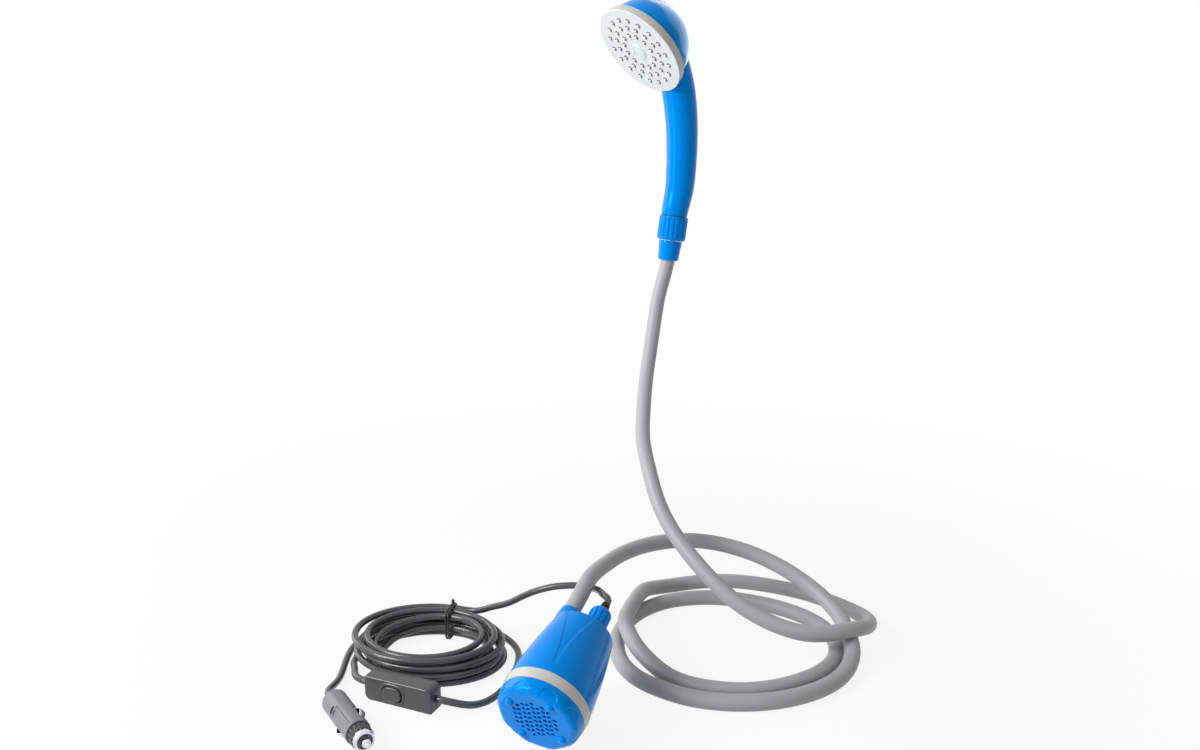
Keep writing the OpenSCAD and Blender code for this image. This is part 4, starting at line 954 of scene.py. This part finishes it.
@dataclass
class Hose(Laid):
    """Grey hose from the pump's collar over the floor and up to the handset."""

    radius: float = 6.0
    around: int = 40
    step: float = 4.0
    length: float = 1.8666
    pump_z: Pair = (84.3, 100.3)
    handset_z: Pair = (-39.06, -23.06)

    def build(self) -> None:
        """One tube along a smooth curve through the route's points."""
        start = PUMP_AT.at([(*COLLAR_XY, z) for z in self.pump_z])
        end = HANDSET_AT.at([(0.0, 0.0, z) for z in self.handset_z])
        route = joined(start, HOSE_ROUTE + FLOOR_SHIFT, end)
        hose, path = self.lay("hose", route, HOSE, "hose_loops", "hose_riser")


@dataclass
class Handset(Assembly):
    """Handset: curved handle, domed head with its pale ring, sprinkler face, union nut and hose sleeve.

    The points of its axis are (x, z, radius) of the handle's circles.
    """

    place: Place = HANDSET_AT
    body: str = "handset"
    wall: float = 2.4
    ring_r: float = 41.0
    ring_h: float = 7.0
    ring_gap: float = 0.2
    dome_r: float = 36.8
    plate_r: float = 36.4
    nub_counts: tuple[int, ...] = (18, 16, 12)
    nub_shares: tuple[float, ...] = (0.84, 0.635, 0.43)
    nut_bottom: float = -20.96
    ribs: int = 18
    rib_depth: float = 0.62
    rib_width: float = 0.34
    axis: tuple = ((0, 0, 11.2), (0, 5, 11.4), (-1.2, 18, 12), (-0.4, 38, 12.7), (2.8, 61, 13.2),
                   (7.8, 83, 13.7), (14.2, 102, 14), (22, 118, 13.9), (31.5, 132, 12.9), (43, 142, 11.4))

    def clear_ring(self, rows: Array) -> Array:
        """Moves points that would lie in the ring's cylinder to the nearer of its back and its side.

        Args:
            rows: Points in the handset's frame.

        Returns:
            The points, clear of the ring.
        """
        local = FACE_AT.into(self.place.at(rows))
        r = np.hypot(local[..., 0], local[..., 1])
        clear_r, clear_z = self.ring_r + self.ring_gap, -self.ring_h - self.ring_gap
        deep, out = local[..., 2] - clear_z, clear_r - r
        inside = (deep > 0.0) & (out > 0.0)
        to_side = inside & (out < deep)
        local[..., :2] *= np.where(to_side, clear_r / np.maximum(r, TINY), 1.0)[..., None]
        local[..., 2] = np.where(inside & ~to_side, clear_z, local[..., 2])
        return self.place.into(FACE_AT.at(local))

    def handle(self) -> None:
        """Handle shell: circles across a curved axis, whose radius follows the same curve as its points."""
        curve = spline(np.array(self.axis), 1.2)
        ahead = unit(np.gradient(curve[:, :2], axis=0))
        across = np.stack([ahead[:, 1], 0.0 * ahead[:, 0], -ahead[:, 0]], -1)
        centre = np.stack([curve[:, 0], 0.0 * curve[:, 0], curve[:, 1]], -1)
        angle = angles(120)[None, :, None]
        around = np.cos(angle) * across[:, None] + np.sin(angle) * np.array((0.0, 1.0, 0.0))
        lipped = curve[:, 2].copy()
        lipped[0] -= 0.5
        outside = centre[:, None] + lipped[:, None, None] * around
        inside = (centre[:, None] + (curve[:, 2, None, None] - self.wall) * around)[::-1]
        self.add("handle", self.clear_ring(joined(inside, outside)), BLUE, "handset_handle", ends=Ends.LOOP)

    def dome(self) -> None:
        """Head shell: half a sphere behind the ring, with its inner half sphere."""
        centre = (0.0, -self.ring_h)
        profile = joined(arc(centre, self.dome_r, -89.4, 0.0, 64),
                         arc(centre, self.dome_r - self.wall, 0.0, -89.4, 40))
        self.add("dome", lathe(profile, 192), BLUE, "head_dome", place=FACE_AT)

    def ring(self) -> None:
        """Pale band round the head's side, from the dome to under the face's edge."""
        profile = joined(((36.5, -self.ring_h), (39.0, -self.ring_h)),
                         arc((39.1, -6.6), 0.4, -80.0, -10.0, 5), line((39.6, -6.2), (40.5, -0.8), 8),
                         ((40.4, -0.55), (36.5, -0.55)))
        self.add("ring", lathe(profile, 256), PALE, "face_ring", place=FACE_AT, ends=Ends.LOOP)

    def face(self) -> None:
        """Sprinkler face: a round-edged plate, three rings of open nubs whiter than the plate as painted
        highlight, on near-black discs of painted shade, and a plain boss.
        """
        plate = joined(((0.4, -2.4), (36.3, -2.4), (36.3, -0.5), (40.3, -0.5)),
                       arc((40.1, -0.05), 0.5, -30.0, 80.0, 8), line((39.6, 0.44), (0.4, 0.2), 16))
        shade_disc = joined(((0.3, -0.6), (2.15, -0.6), (2.15, 0.35)), arc((2.0, 0.4), 0.15, 0.0, 90.0, 4),
                      ((0.3, 0.45),))
        nub = joined(((0.3, 0.2), (1.15, 0.2), (1.15, 0.7)), line((1.12, 0.9), (1.0, 1.6), 4),
                     arc((0.7, 1.65), 0.3, 0.0, 150.0, 6), ((0.37, 1.4), (0.35, 0.9), (0.2, 0.9)))
        boss = joined(((0.3, -0.3), (7.0, -0.3), (7.0, 0.25)), arc((6.75, 0.4), 0.25, 0.0, 90.0, 6),
                      ((6.1, 0.65), (5.9, 0.45), (5.5, 0.45), (5.3, 0.68), (4.0, 0.72), (0.3, 0.75)))
        turn = joined(*(2.0 * np.pi * (np.arange(n) + 0.5 * row) / n
                        for row, n in enumerate(self.nub_counts)))
        centre = circle(np.repeat(self.nub_shares, self.nub_counts) * self.plate_r, turn)[:, None, None]
        self.add("plate", lathe(plate, 256), FACE, "nozzle_plate", place=FACE_AT)
        # Near-black discs round the nubs' feet: painted shade.
        self.add("nub_seats", lathe(shade_disc, 28)[None] + centre, NUB_SHADE, place=FACE_AT)
        # Nubs whiter than the plate: painted highlight on their lit sides.
        self.add("nubs", lathe(nub, 28)[None] + centre, NUB_HIGHLIGHT, place=FACE_AT)
        self.add("boss", lathe(boss, 96), FACE, "face_boss", place=FACE_AT)

    def nut(self) -> None:
        """Ribbed union nut: rounded grooves that stop short of both edges, and a rounded lower edge."""
        low = self.nut_bottom
        profile = joined(((10.3, -0.9), (10.3, -18.9), (8.0, -18.9), (8.0, low), (10.2, low)),
                         arc((9.9, low + 2.4), 2.4, -80.0, -4.0, 10),
                         line((12.3, low + 2.8), (12.3, -1.3), 40), arc((11.7, -1.2), 0.6, 0.0, 90.0, 5))
        rows = lathe(profile, 360)
        fade = smooth((rows[..., 2] - low - 2.2) / 1.2) * smooth((-2.4 - rows[..., 2]) / 0.8)
        rows = ribbed(rows, self.ribs, self.rib_depth, self.rib_width, 10.6, fade)
        self.add("nut", rows, BLUE, "hose_nut", body="union_nut", ends=Ends.LOOP)

    def seal(self) -> None:
        """Dark seal that shows as a fine line between the handle and the nut."""
        profile = np.array(((10.25, -0.55), (11.0, -0.55), (11.05, -0.3), (11.0, -0.04), (10.25, -0.04)))
        self.add("nut_seal", lathe(profile, 96), RUBBER, ends=Ends.LOOP)

    def sleeve(self) -> None:
        """Conical sleeve over the hose's end, with a rounded lower edge."""
        profile = joined(((6.15, -37.7), (7.6, -37.86)), arc((8.05, -37.1), 0.75, -80.0, 0.0, 6),
                         line((8.85, -36.6), (9.95, -21.8), 8), ((9.7, -21.3), (6.15, -21.3)))
        self.add("sleeve", lathe(profile, 96), BLUE, "hose_sleeve", body="base", ends=Ends.LOOP)

    def build(self) -> None:
        """Builds every piece of the handset and its union."""
        for make in (self.handle, self.dome, self.ring, self.face, self.nut, self.seal, self.sleeve):
            make()


@dataclass
class Switch(Assembly):
    """In-line switch: a rounded case with a bezel round its push button.

    The corners' radii go round from the lower left. Case and button are lofts across it, from one y to the
    next.
    """

    place: Place = SWITCH_AT
    centre: Pair = (-4.0, 9.0)
    half_l: float = 27.0
    height: float = 18.0
    half_d: float = 7.0
    corner_r: tuple[float, ...] = (4.5, 1.2, 4.5, 1.4)
    button_r: float = 6.6
    button_wide: float = 1.12
    button_high: float = 0.82
    squareness: float = 2.6
    spring_y: float = -4.25
    spring_r: float = 3.0
    spring_turns: int = 4
    spring_l: float = 6.6
    spring_travel: float = 2.55

    def about(self, r: Array, angle: Array) -> Array:
        """Points (x, z) at distances and polar angles about the button's middle."""
        return np.stack([self.centre[0] + r * np.cos(angle), self.centre[1] + r * np.sin(angle)], -1)

    def outline(self, inset: float, angle: Array) -> Array:
        """The case's side view, with an arc of its own radius at each corner.

        Args:
            inset: How far inside the case's outline.
            angle: Polar angles about the button's middle, in radians.

        Returns:
            Points (x, z) at those angles.
        """
        l, low, high = self.half_l - inset, inset, self.height - inset
        radii = np.maximum(self.corner_r, inset + 0.2) - inset
        corners = [arc((-l + radii[0], low + radii[0]), radii[0], 180.0, 270.0, 24),
                   arc((l - radii[1], low + radii[1]), radii[1], -90.0, 0.0, 24),
                   arc((l - radii[2], high - radii[2]), radii[2], 0.0, 90.0, 24),
                   arc((-l + radii[3], high - radii[3]), radii[3], 90.0, 180.0, 24)]
        x, z = (even(joined(*corners, corners[0][:1]), 0.1) - self.centre).T
        turn = np.arctan2(z, x)
        order = np.argsort(turn)
        return self.about(np.interp(angle, turn[order], np.hypot(z, x)[order], period=2.0 * np.pi), angle)

    def squircle(self, r: float, angle: Array) -> Array:
        """A rounded oblong about the button's middle, |x / wide|^n + |z / high|^n = r^n for the squareness n.

        Args:
            r: Its size.
            angle: Polar angles about the button's middle, in radians.

        Returns:
            Points (x, z) at those angles.
        """
        n = self.squareness
        wide, high = np.abs(np.cos(angle) / self.button_wide), np.abs(np.sin(angle) / self.button_high)
        return self.about(r / (wide ** n + high ** n) ** (1.0 / n), angle)

    def rows(self, levels: list[tuple[Array, float]]) -> Array:
        """Rings of a loft across the case: each level is an outline and its y."""
        return np.stack([np.stack([shape[:, 0], np.full(len(shape), y), shape[:, 1]], -1)
                         for shape, y in levels])

    def build(self) -> list[Object]:
        """Builds the case, the button and the spring behind it.

        Returns:
            The three pieces.
        """
        angle = np.linspace(-np.pi, np.pi, 480, endpoint=False)
        d, r = self.half_d, self.button_r
        edge = [(1.3, d), (0.55, d - 0.1), (0.16, d - 0.45), (0.0, d - 1.1), (0.0, 0.45), (0.3, 0.3),
                (0.3, -0.1), (0.0, -0.25), (0.0, 1.1 - d), (0.16, 0.45 - d), (0.55, 0.1 - d), (1.3, -d)]
        hole = [(9.3, -d), (8.95, -d - 0.35), (8.6, -d - 0.6), (7.7, -d - 0.6), (7.3, -d - 0.3),
                (7.2, -d + 1.0), (7.2, -2.0)]
        crown = [(r, -d + 1.6), (r, -d - 1.0), (r - 0.12, -d - 1.4), (r - 0.5, -d - 1.75),
                 (r - 1.2, -d - 1.95), (r - 2.4, -d - 1.95), (1.0, -d - 1.85)]
        levels = [(self.outline(inset, angle), y) for inset, y in edge]
        levels += [(self.squircle(size, angle), y) for size, y in hole]
        case = self.add("switch_case", self.rows(levels), SWITCH, "switch_base", "switch_cover", sharp=24.0)
        levels = [(self.squircle(size, angle), y) for size, y in crown]
        button = self.add("button_cap", self.rows(levels), SWITCH, "switch_button", body="button")
        place = self.place.within((self.centre[0], self.spring_y, self.centre[1]), turned(Axis.X, -90.0))
        wire = helix(self.spring_r, self.spring_l, self.spring_turns, WIRE_R)
        coil = self.add("button_spring", wire, STEEL, "switch_spring", place=place)
        tuple(place.at((0.0, 0.0, self.spring_l)) * MM)
        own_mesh(coil)
        return [case, button, coil]


@dataclass
class Plug(Assembly):
    """Vehicle plug: barrel with a flat panel and windows, dark nose, bright ring, tip and side contacts."""

    place: Place = PLUG_AT
    r: float = 8.7
    skin_r: float = 7.0
    length: float = 42.0
    rear: float = 8.0
    panel_turn: float = 204.0
    panel_z: Pair = (15.3, 39.0)
    panel_r: float = 7.6
    panel_half: float = 60.0
    panel_edge: float = 0.4
    groove_turn: float = 31.0
    groove_half: float = 2.6
    groove_z: Pair = (14.0, 40.0)
    groove_depth: float = 0.7
    slot_z: float = 13.2
    slot_half: Pair = (22.0, 1.3)
    slot_edge: float = 0.2
    slot_depth: float = 3.2
    # Half size of the near-black ellipse of painted shade in the slot.
    floor_half: Pair = (21.7, 1.28)
    window_z: Pair = (20.0, 36.0)
    window_half: float = 3.3
    window_edges: Pair = (0.3, 0.25)
    window_depth: float = 5.0
    ribs: int = 14
    rib_depth: float = 0.55
    rib_width: float = 70.0 / 180.0
    leaf_y: float = 6.2
    leaf_bow: float = 4.1
    leaf_z: float = 28.0
    leaf_half: Point = (2.8, 0.32, 7.3)
    spring_z: float = 33.05
    spring_r: float = 2.9
    spring_turns: int = 5
    spring_l: float = 13.5
    spring_travel: float = 4.05

    def barrel(self) -> Object:
        """Barrel: a round body cut by a flat panel, grooves, a slot and a window on either side.

        Returns:
            The piece.
        """
        full, end = self.r, self.length
        rows = lathe(joined(((2.8, -self.rear),), arc((full - 5.5, -self.rear + 5.5), 5.5, -88.0, 0.0, 22),
                            line((full, -2.2), (full, 17.0), 108), line((full, 17.2), (full, end - 0.5), 100),
                            ((full - 0.4, end), (6.85, end), (6.8, end - 3.0), (0.3, end - 3.0))), 360)
        r, angle, z = polar(rows)
        skin = r > self.skin_r
        off = wrapped(angle - self.panel_turn)
        low, high = self.panel_z
        near = np.clip(off, -self.panel_half, self.panel_half)
        flat = np.where(np.abs(off) < self.panel_half, self.panel_r / np.cos(np.radians(near)), np.inf)
        cut = np.maximum(r - flat, 0.0) * smooth((z - low) / self.panel_edge)
        cut *= smooth((high - z) / self.panel_edge)
        low, high = self.groove_z
        groove = np.exp(-((np.abs(off) - self.groove_turn) / self.groove_half) ** 2)
        groove *= smooth(z - low) * smooth(high - z)
        wide, tall = self.slot_half
        slot = smooth((1.0 - np.hypot(off / wide, (z - self.slot_z) / tall)) / self.slot_edge)
        cut += self.groove_depth * groove + self.slot_depth * slot
        low, high = self.window_z
        across = np.abs(rows[..., 0]) * full / np.maximum(r, TINY)
        side_edge, edge = self.window_edges
        window = smooth((z - low) / edge) * smooth((high - z) / edge)
        window *= smooth((self.window_half - across) / side_edge)
        rows = narrowed(rows, cut * skin)
        rows[..., 1] -= np.sign(rows[..., 1]) * self.window_depth * window * skin
        return self.add("plug_barrel", rows, PLUG, "plug_shell", sharp=26.0)

    def slot_shade(self) -> Object:
        """Painted shade in the slot behind the panel: a near-black ellipse laid on a round a little inside
        the barrel's.

        Returns:
            The piece.
        """
        turn = angles(48)
        size, r = np.array(((1.0, 5.8), (1.0, 8.5), (0.99, 8.55))).T[..., None]
        wide, tall = self.floor_half
        angle = np.radians(self.panel_turn + wide * size * np.cos(turn))
        rows = np.stack([r * np.cos(angle), r * np.sin(angle), self.slot_z + tall * size * np.sin(turn)], -1)
        # Near-black rubber finish: painted shade in the slot.
        return self.add("plug_slot", rows, RUBBER)

    def nose(self) -> list[Object]:
        """Dark ribbed nose, bright ring with a dark collar in it, and the tip with the spring behind it.

        Returns:
            The five pieces.
        """
        nose = joined(((6.6, 40.0), (7.8, 42.05)), line((7.85, 42.3), (7.8, 49.4), 8),
                      ((7.4, 50.0), (4.8, 50.0), (4.8, 40.0)))
        ring = joined(((4.7, 50.0), (7.1, 50.0), (7.2, 50.4)), arc((5.6, 52.4), 1.6, 0.0, 88.0, 10),
                      ((5.5, 54.0), (5.3, 53.8), (5.2, 50.9), (3.3, 50.8), (3.3, 50.3)))
        tip = joined(((0.2, 46.6), (3.0, 46.6)), line((3.0, 50.0), (3.0, 56.2), 5),
                     arc((2.0, 56.2), 1.0, 0.0, 50.0, 5), ((1.9, 58.2),),
                     arc((1.2, 58.9), 0.8, -20.0, 80.0, 6), ((0.2, 59.8),))
        collar = np.array(((3.15, 50.95), (5.1, 50.95), (5.1, 51.5), (4.9, 51.7), (3.3, 51.7), (3.15, 51.5)))
        ribs = ribbed(lathe(nose, 240), self.ribs, self.rib_depth, self.rib_width, self.skin_r)
        pieces = [self.add("plug_nose_cap", ribs, DARK, "plug_nose", ends=Ends.LOOP),
                  self.add("plug_ring", lathe(ring, 96), STEEL, "plug_nose_ring", ends=Ends.LOOP),
                  self.add("plug_point", lathe(tip, 72), STEEL, "plug_tip", body="tip"),
                  self.add("plug_collar", lathe(collar, 72), PLUG, ends=Ends.LOOP)]
        place = self.place.within((0.0, 0.0, self.spring_z), np.eye(3))
        wire = helix(self.spring_r, self.spring_l, self.spring_turns, WIRE_R)
        coil = self.add("point_spring", wire, STEEL, "plug_tip_spring", place=place)
        tuple(place.origin * MM)
        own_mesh(coil)
        return [*pieces, coil]

    def contact(self, side: int, name: str, body: str, node: str) -> Object:
        """A bowed leaf in the window: its middle line is one cosine wave, its section a flat oval.

        Args:
            side: 1 for the left contact, -1 for the right one.
            name: The piece's name.
            body: The body that it moves with.
            node: The CAD node that it stands for.

        Returns:
            The piece.
        """
        half_wide, half_thick, half_long = self.leaf_half
        t = np.linspace(-1.0, 1.0, 40)
        bow = self.leaf_y + self.leaf_bow * (1.0 + np.cos(np.pi * t)) / 2.0
        middle = np.stack([0.0 * t, side * bow, self.leaf_z + half_long * t], -1)
        ahead = unit(np.gradient(middle, axis=0))
        out = np.stack([0.0 * t, ahead[:, 2], -ahead[:, 1]], -1)
        turn = angles(32)[None, :, None]
        wide = np.sign(np.cos(turn)) * np.abs(np.cos(turn)) ** 0.5 * half_wide
        thick = np.sign(np.sin(turn)) * np.abs(np.sin(turn)) ** 0.6 * half_thick
        rows = middle[:, None] + wide * np.array((1.0, 0.0, 0.0)) + thick * out[:, None]
        return self.add(name, rows, STEEL, node, body=body)

    def build(self) -> list[Object]:
        """Builds the plug.

        Returns:
            Its pieces.
        """
        return [self.barrel(), self.slot_shade(), *self.nose(),
                self.contact(1, "plug_leaf_left", "contact_left", "plug_contact_left"),
                self.contact(-1, "plug_leaf_right", "contact_right", "plug_contact_right")]


@dataclass
class Cord(Laid):
    """Cable from the gland into its tied coil and on to the switch, and the lead from there to the plug."""

    half_l: float = 58.0
    half_w: float = 45.0
    turns: float = 8.0
    layers: int = 4
    start: float = 80.0
    end: float = 195.0
    tie_angle: float = 88.0
    step_tie: float = 5.7
    step_away: float = 9.5
    layer_h: float = 5.7
    lean: float = 0.25
    lift: float = 1.4
    tie_r: float = 0.75
    tie_half_gap: float = 0.9
    tie_corner_r: float = 4.6
    strand_r: float = 0.62
    tail_at: Pair = (44.0, 24.4)
    tail_l: float = 4.2
    tail_twists: float = 1.4
    cable_l: float = 2.52
    lead_l: float = 0.367
    gland_z: Point = (92.4, 98.4, 102.4)
    run_in: float = 12.0
    run_out: float = 10.0
    switch_end: float = 25.0
    switch_z: float = 9.0
    plug_z: Pair = (-16.0, -6.0)

    def coil(self, count: int) -> Array:
        """The coil's centre line: an oval that winds in and out from layer to layer, from the top layer down.

        Within a layer the oval grows or shrinks evenly with the turn, by a step that is least at the tie.
        Between layers the cable drops over half a turn.

        Args:
            count: Points to return.

        Returns:
            Points in the row frame, in millimetres.
        """
        sweep = self.turns * 360.0 + self.end - self.start
        span = sweep / self.layers
        a = np.linspace(0.0, sweep, count)
        angle = a + self.start
        layer = np.clip(np.floor(a / span), 0, self.layers - 1)
        part = (a - layer * span) / 360.0
        wound = np.where(layer % 2 == 0, part, span / 360.0 - part)
        step = self.step_tie + (self.step_away - self.step_tie) * (
            1.0 - np.cos(np.radians(2.0 * (angle - self.tie_angle)))) / 2.0
        drop = self.layer_h * sum(smooth((a - k * span + 90.0) / 180.0) for k in range(1, self.layers))
        up = self.layer_h * (self.layers - 1) - drop
        off = wound * step
        cos, sin = np.cos(np.radians(angle)), np.sin(np.radians(angle))
        return COIL_AT.at(np.stack([(self.half_l - off) * cos - self.lean * up, (self.half_w - off) * sin,
                                    self.radius + self.lift + up], -1))

    def tie(self) -> list[Object]:
        """Wire tie: two turns round the bundle and a twisted tail on top.

        Returns:
            The loops and the tail.
        """
        middles = ((45.1, 19.9), (33.6, 19.9), (33.6, 5.6), (45.1, 5.6))
        corners = [arc(middle, self.tie_corner_r, 90.0 * i, 90.0 * (i + 1), 12)
                   for i, middle in enumerate(middles)]
        loop = even(joined(*corners, corners[0][:1]), 0.8)[:-1]
        ahead = unit(np.roll(loop, -1, 0) - np.roll(loop, 1, 0))
        turn = angles(12)[None, :]
        out_y = loop[:, 0, None] + self.tie_r * np.cos(turn) * ahead[:, 1, None]
        out_z = loop[:, 1, None] - self.tie_r * np.cos(turn) * ahead[:, 0, None]
        ring = np.stack([self.tie_r * np.sin(turn) + 0.0 * out_y, out_y, out_z], -1)
        apart = np.array(((-self.tie_half_gap, 0.0, 0.0), (self.tie_half_gap, 0.0, 0.0)))
        loops = ring[None] + apart[:, None, None]
        t = np.linspace(0.0, 1.0, 40)
        twist = 2.0 * np.pi * self.tail_twists * t
        y, z = self.tail_at
        strands = [np.stack([s * np.cos(twist), y + s * np.sin(twist), z + self.tail_l * t], -1)
                   for s in (self.tie_r, -self.tie_r)]
        tails = np.stack([tube(strand, self.strand_r, 10) for strand in strands])
        return [self.add("tie_wraps", loops, TIE, "cable_tie", place=COIL_AT, ends=Ends.LOOP),
                self.add("tie_tail", tails, TIE, place=COIL_AT)]

    def build(self) -> None:
        """Lays both lengths of cable, with the tie, the switch and the plug that go with them."""
        coil = self.coil(300)
        out_of_gland = PUMP_AT.at([(*GLAND_XY, z) for z in self.gland_z])
        before = coil[0] - self.run_in * unit(coil[1] - coil[0])
        after = coil[-1] + self.run_out * unit(coil[-1] - coil[-2])
        route = joined(out_of_gland, LEAD_ROUTE + FLOOR_SHIFT, (before,), coil, (after,),
                       SWITCH_ROUTE + FLOOR_SHIFT, SWITCH_AT.at(((-self.switch_end, 0.0, self.switch_z),)))
        cable, path = self.lay("cable", route, CABLE, "cable_lead", "cable_coil", "switch_lead")
        switch = Switch(self.dresser).build()
        tuple(out_of_gland[1] * MM)
        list(self.tie())
        out_of_switch = SWITCH_AT.at([(self.switch_end + by, 0.0, self.switch_z) for by in (0.0, 2.0, 9.0)])
        into_plug = PLUG_AT.at([(0.0, 0.0, z) for z in self.plug_z])
        route = joined(out_of_switch[::2], PLUG_ROUTE + FLOOR_SHIFT, into_plug)
        lead, path = self.lay("lead", route, CABLE, "plug_lead")
        tuple(out_of_switch[1] * MM)
        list(Plug(self.dresser).build())


@dataclass
class Insides:
    """The works that the CAD nodes show as they are."""

    dresser: Dresser

    def build(self) -> None:
        """Gives each inner node its finish."""
        for finish, nodes in (
                (PALE, "impeller"), (DARK, "volute_body volute_cover motor_end_bell"),
                (RUBBER, "casing_o_ring shaft_seal outlet_duct head_gasket nut_washer"),
                (STEEL, "plug_fuse switch_screws face_screw volute_screws motor_shaft motor_can"),
                (STEEL, "handle_inlet hose_barb"),
                (BRASS, "switch_contacts motor_bushes"), (MAGNET, "motor_magnets motor_brushes"),
                (COPPER, "armature commutator motor_leads")):
            self.dresser.carry_over(finish, *nodes.split())


@dataclass
class Studio:
    """Pale floor, soft lights and the camera."""

    camera_at: Point = (-0.0085, -0.7519, 0.392)
    camera_tilt: float = 76.5
    lens: float = 31.5
    sensor: float = 36.0
    clip: Pair = (0.01, 60.0)
    ambient: float = 0.34
    floor_half: float = 30.0
    floor_drop: float = 1e-4
    floor_grain: float = 220.0
    floor_greys: tuple[Colour, Colour] = ((0.8, 0.8, 0.8), (0.78, 0.78, 0.78))
    near_white: float = 0.88
    fade_from: float = 0.3
    fade_over: float = 0.5

    def floor(self) -> None:
        """Floor that shows a soft shadow near the object and goes over to plain white away from it."""
        side, low = self.floor_half, -self.floor_drop
        mesh = bpy.data.meshes.new("floor")
        mesh.from_pydata([(-side, -side, low), (side, -side, low), (side, side, low), (-side, side, low)], [],
                         [(0, 1, 2, 3)])
        floor = shown("floor", mesh)
        material = bpy.data.materials.new("floor")
        material.use_nodes = True
        graph = Graph(material.node_tree)
        where = graph.add("ShaderNodeTexCoord", out="Object")
        away = graph.add("ShaderNodeVectorMath", {"operation": "LENGTH"}, {0: where}, "Value")
        far = ((away - self.fade_from) / self.fade_over).at_least(0.0).at_most(1.0)
        colour = graph.mix(graph.noise(where, self.floor_grain), *self.floor_greys)
        plain = graph.add("ShaderNodeBsdfDiffuse", {}, {"Color": colour})
        white = graph.add("ShaderNodeEmission", {}, {"Color": (1.0, 1.0, 1.0, 1.0), "Strength": 1.0})
        share = graph.seen() * (self.near_white + far * (1.0 - self.near_white))
        both = graph.add("ShaderNodeMixShader", {}, {0: share, 1: plain, 2: white})
        graph.add("ShaderNodeOutputMaterial", {}, {"Surface": both})
        mesh.materials.append(material)

    def lamp(self, name: str, at: Point, aim: Point, size: Pair, power: float,
             seen_in: tuple[str, ...] = ()) -> None:
        """A rectangular soft light.

        Args:
            name: The light's name.
            at: Where it hangs, in metres.
            aim: The point that it faces.
            size: Width and height, in metres.
            power: Watts.
            seen_in: For a card that only shows in reflections, the pieces that it shows in.
        """
        data = bpy.data.lights.new(name, "AREA")
        data.shape = "RECTANGLE"
        data.size, data.size_y = size
        data.energy = power
        lamp = shown(name, data)
        back = unit(np.array(at) - np.array(aim))
        right = unit(np.cross((0.0, 0.0, 1.0), back))
        matrix = np.eye(4)
        matrix[:3] = np.stack([right, np.cross(back, right), back, at], 1)
        lamp.matrix_world = Matrix(matrix.tolist())
        if seen_in:
            lamp.visible_diffuse = lamp.visible_camera = False
            receivers = bpy.data.collections.new(f"{name}_receivers")
            for piece in seen_in:
                receivers.objects.link(bpy.data.objects[piece])
            lamp.light_linking.receiver_collection = receivers

    def world(self) -> None:
        """Plain soft light from everywhere, and white where the camera or a reflection looks."""
        world = bpy.data.worlds.new("studio")
        world.use_nodes = True
        bpy.context.scene.world = world
        graph = Graph(world.node_tree)
        strength = self.ambient + graph.seen() * (1.0 - self.ambient)
        sky = graph.add("ShaderNodeBackground", {}, {"Color": (1.0, 1.0, 1.0, 1.0), "Strength": strength})
        graph.add("ShaderNodeOutputWorld", {}, {"Surface": sky})

    def camera(self) -> None:
        """The photo's camera."""
        data = bpy.data.cameras.new("camera")
        data.lens = self.lens
        data.sensor_width = self.sensor
        data.sensor_fit = "HORIZONTAL"
        data.clip_start, data.clip_end = self.clip
        camera = shown("camera", data)
        camera.location = self.camera_at
        camera.rotation_euler = (math.radians(self.camera_tilt), 0.0, 0.0)
        bpy.context.scene.camera = camera
        bpy.context.scene.view_settings.view_transform = "Standard"

    def build(self) -> None:
        """Sets up the whole studio."""
        self.floor()
        self.world()
        self.lamp("key", (-1.3, -0.6, 1.05), (0.0, 0.0, 0.15), (0.8, 0.8), 24.0)
        self.lamp("left_strip", (-1.25, -0.55, 0.32), (0.05, 0.15, 0.32), (0.14, 0.9), 3.0)
        self.lamp("left_edge", (-1.25, 0.75, 0.7), (0.0, 0.0, 0.2), (0.5, 1.4), 5.0)
        self.lamp("head_card", (0.47, 0.47, 0.72), (0.05, 0.115, 0.455), (0.8, 0.8), 5.8, ("dome",))
        self.camera()


def main() -> None:
    """Builds the object and its studio."""
    logging.basicConfig(level=logging.INFO, format="%(message)s")
    dresser = Dresser()
    Hose(dresser).build()
    Cord(dresser).build()
    Pump(dresser).build()
    Handset(dresser).build()
    Insides(dresser).build()
    Studio().build()


if __name__ == "__main__":
    main()
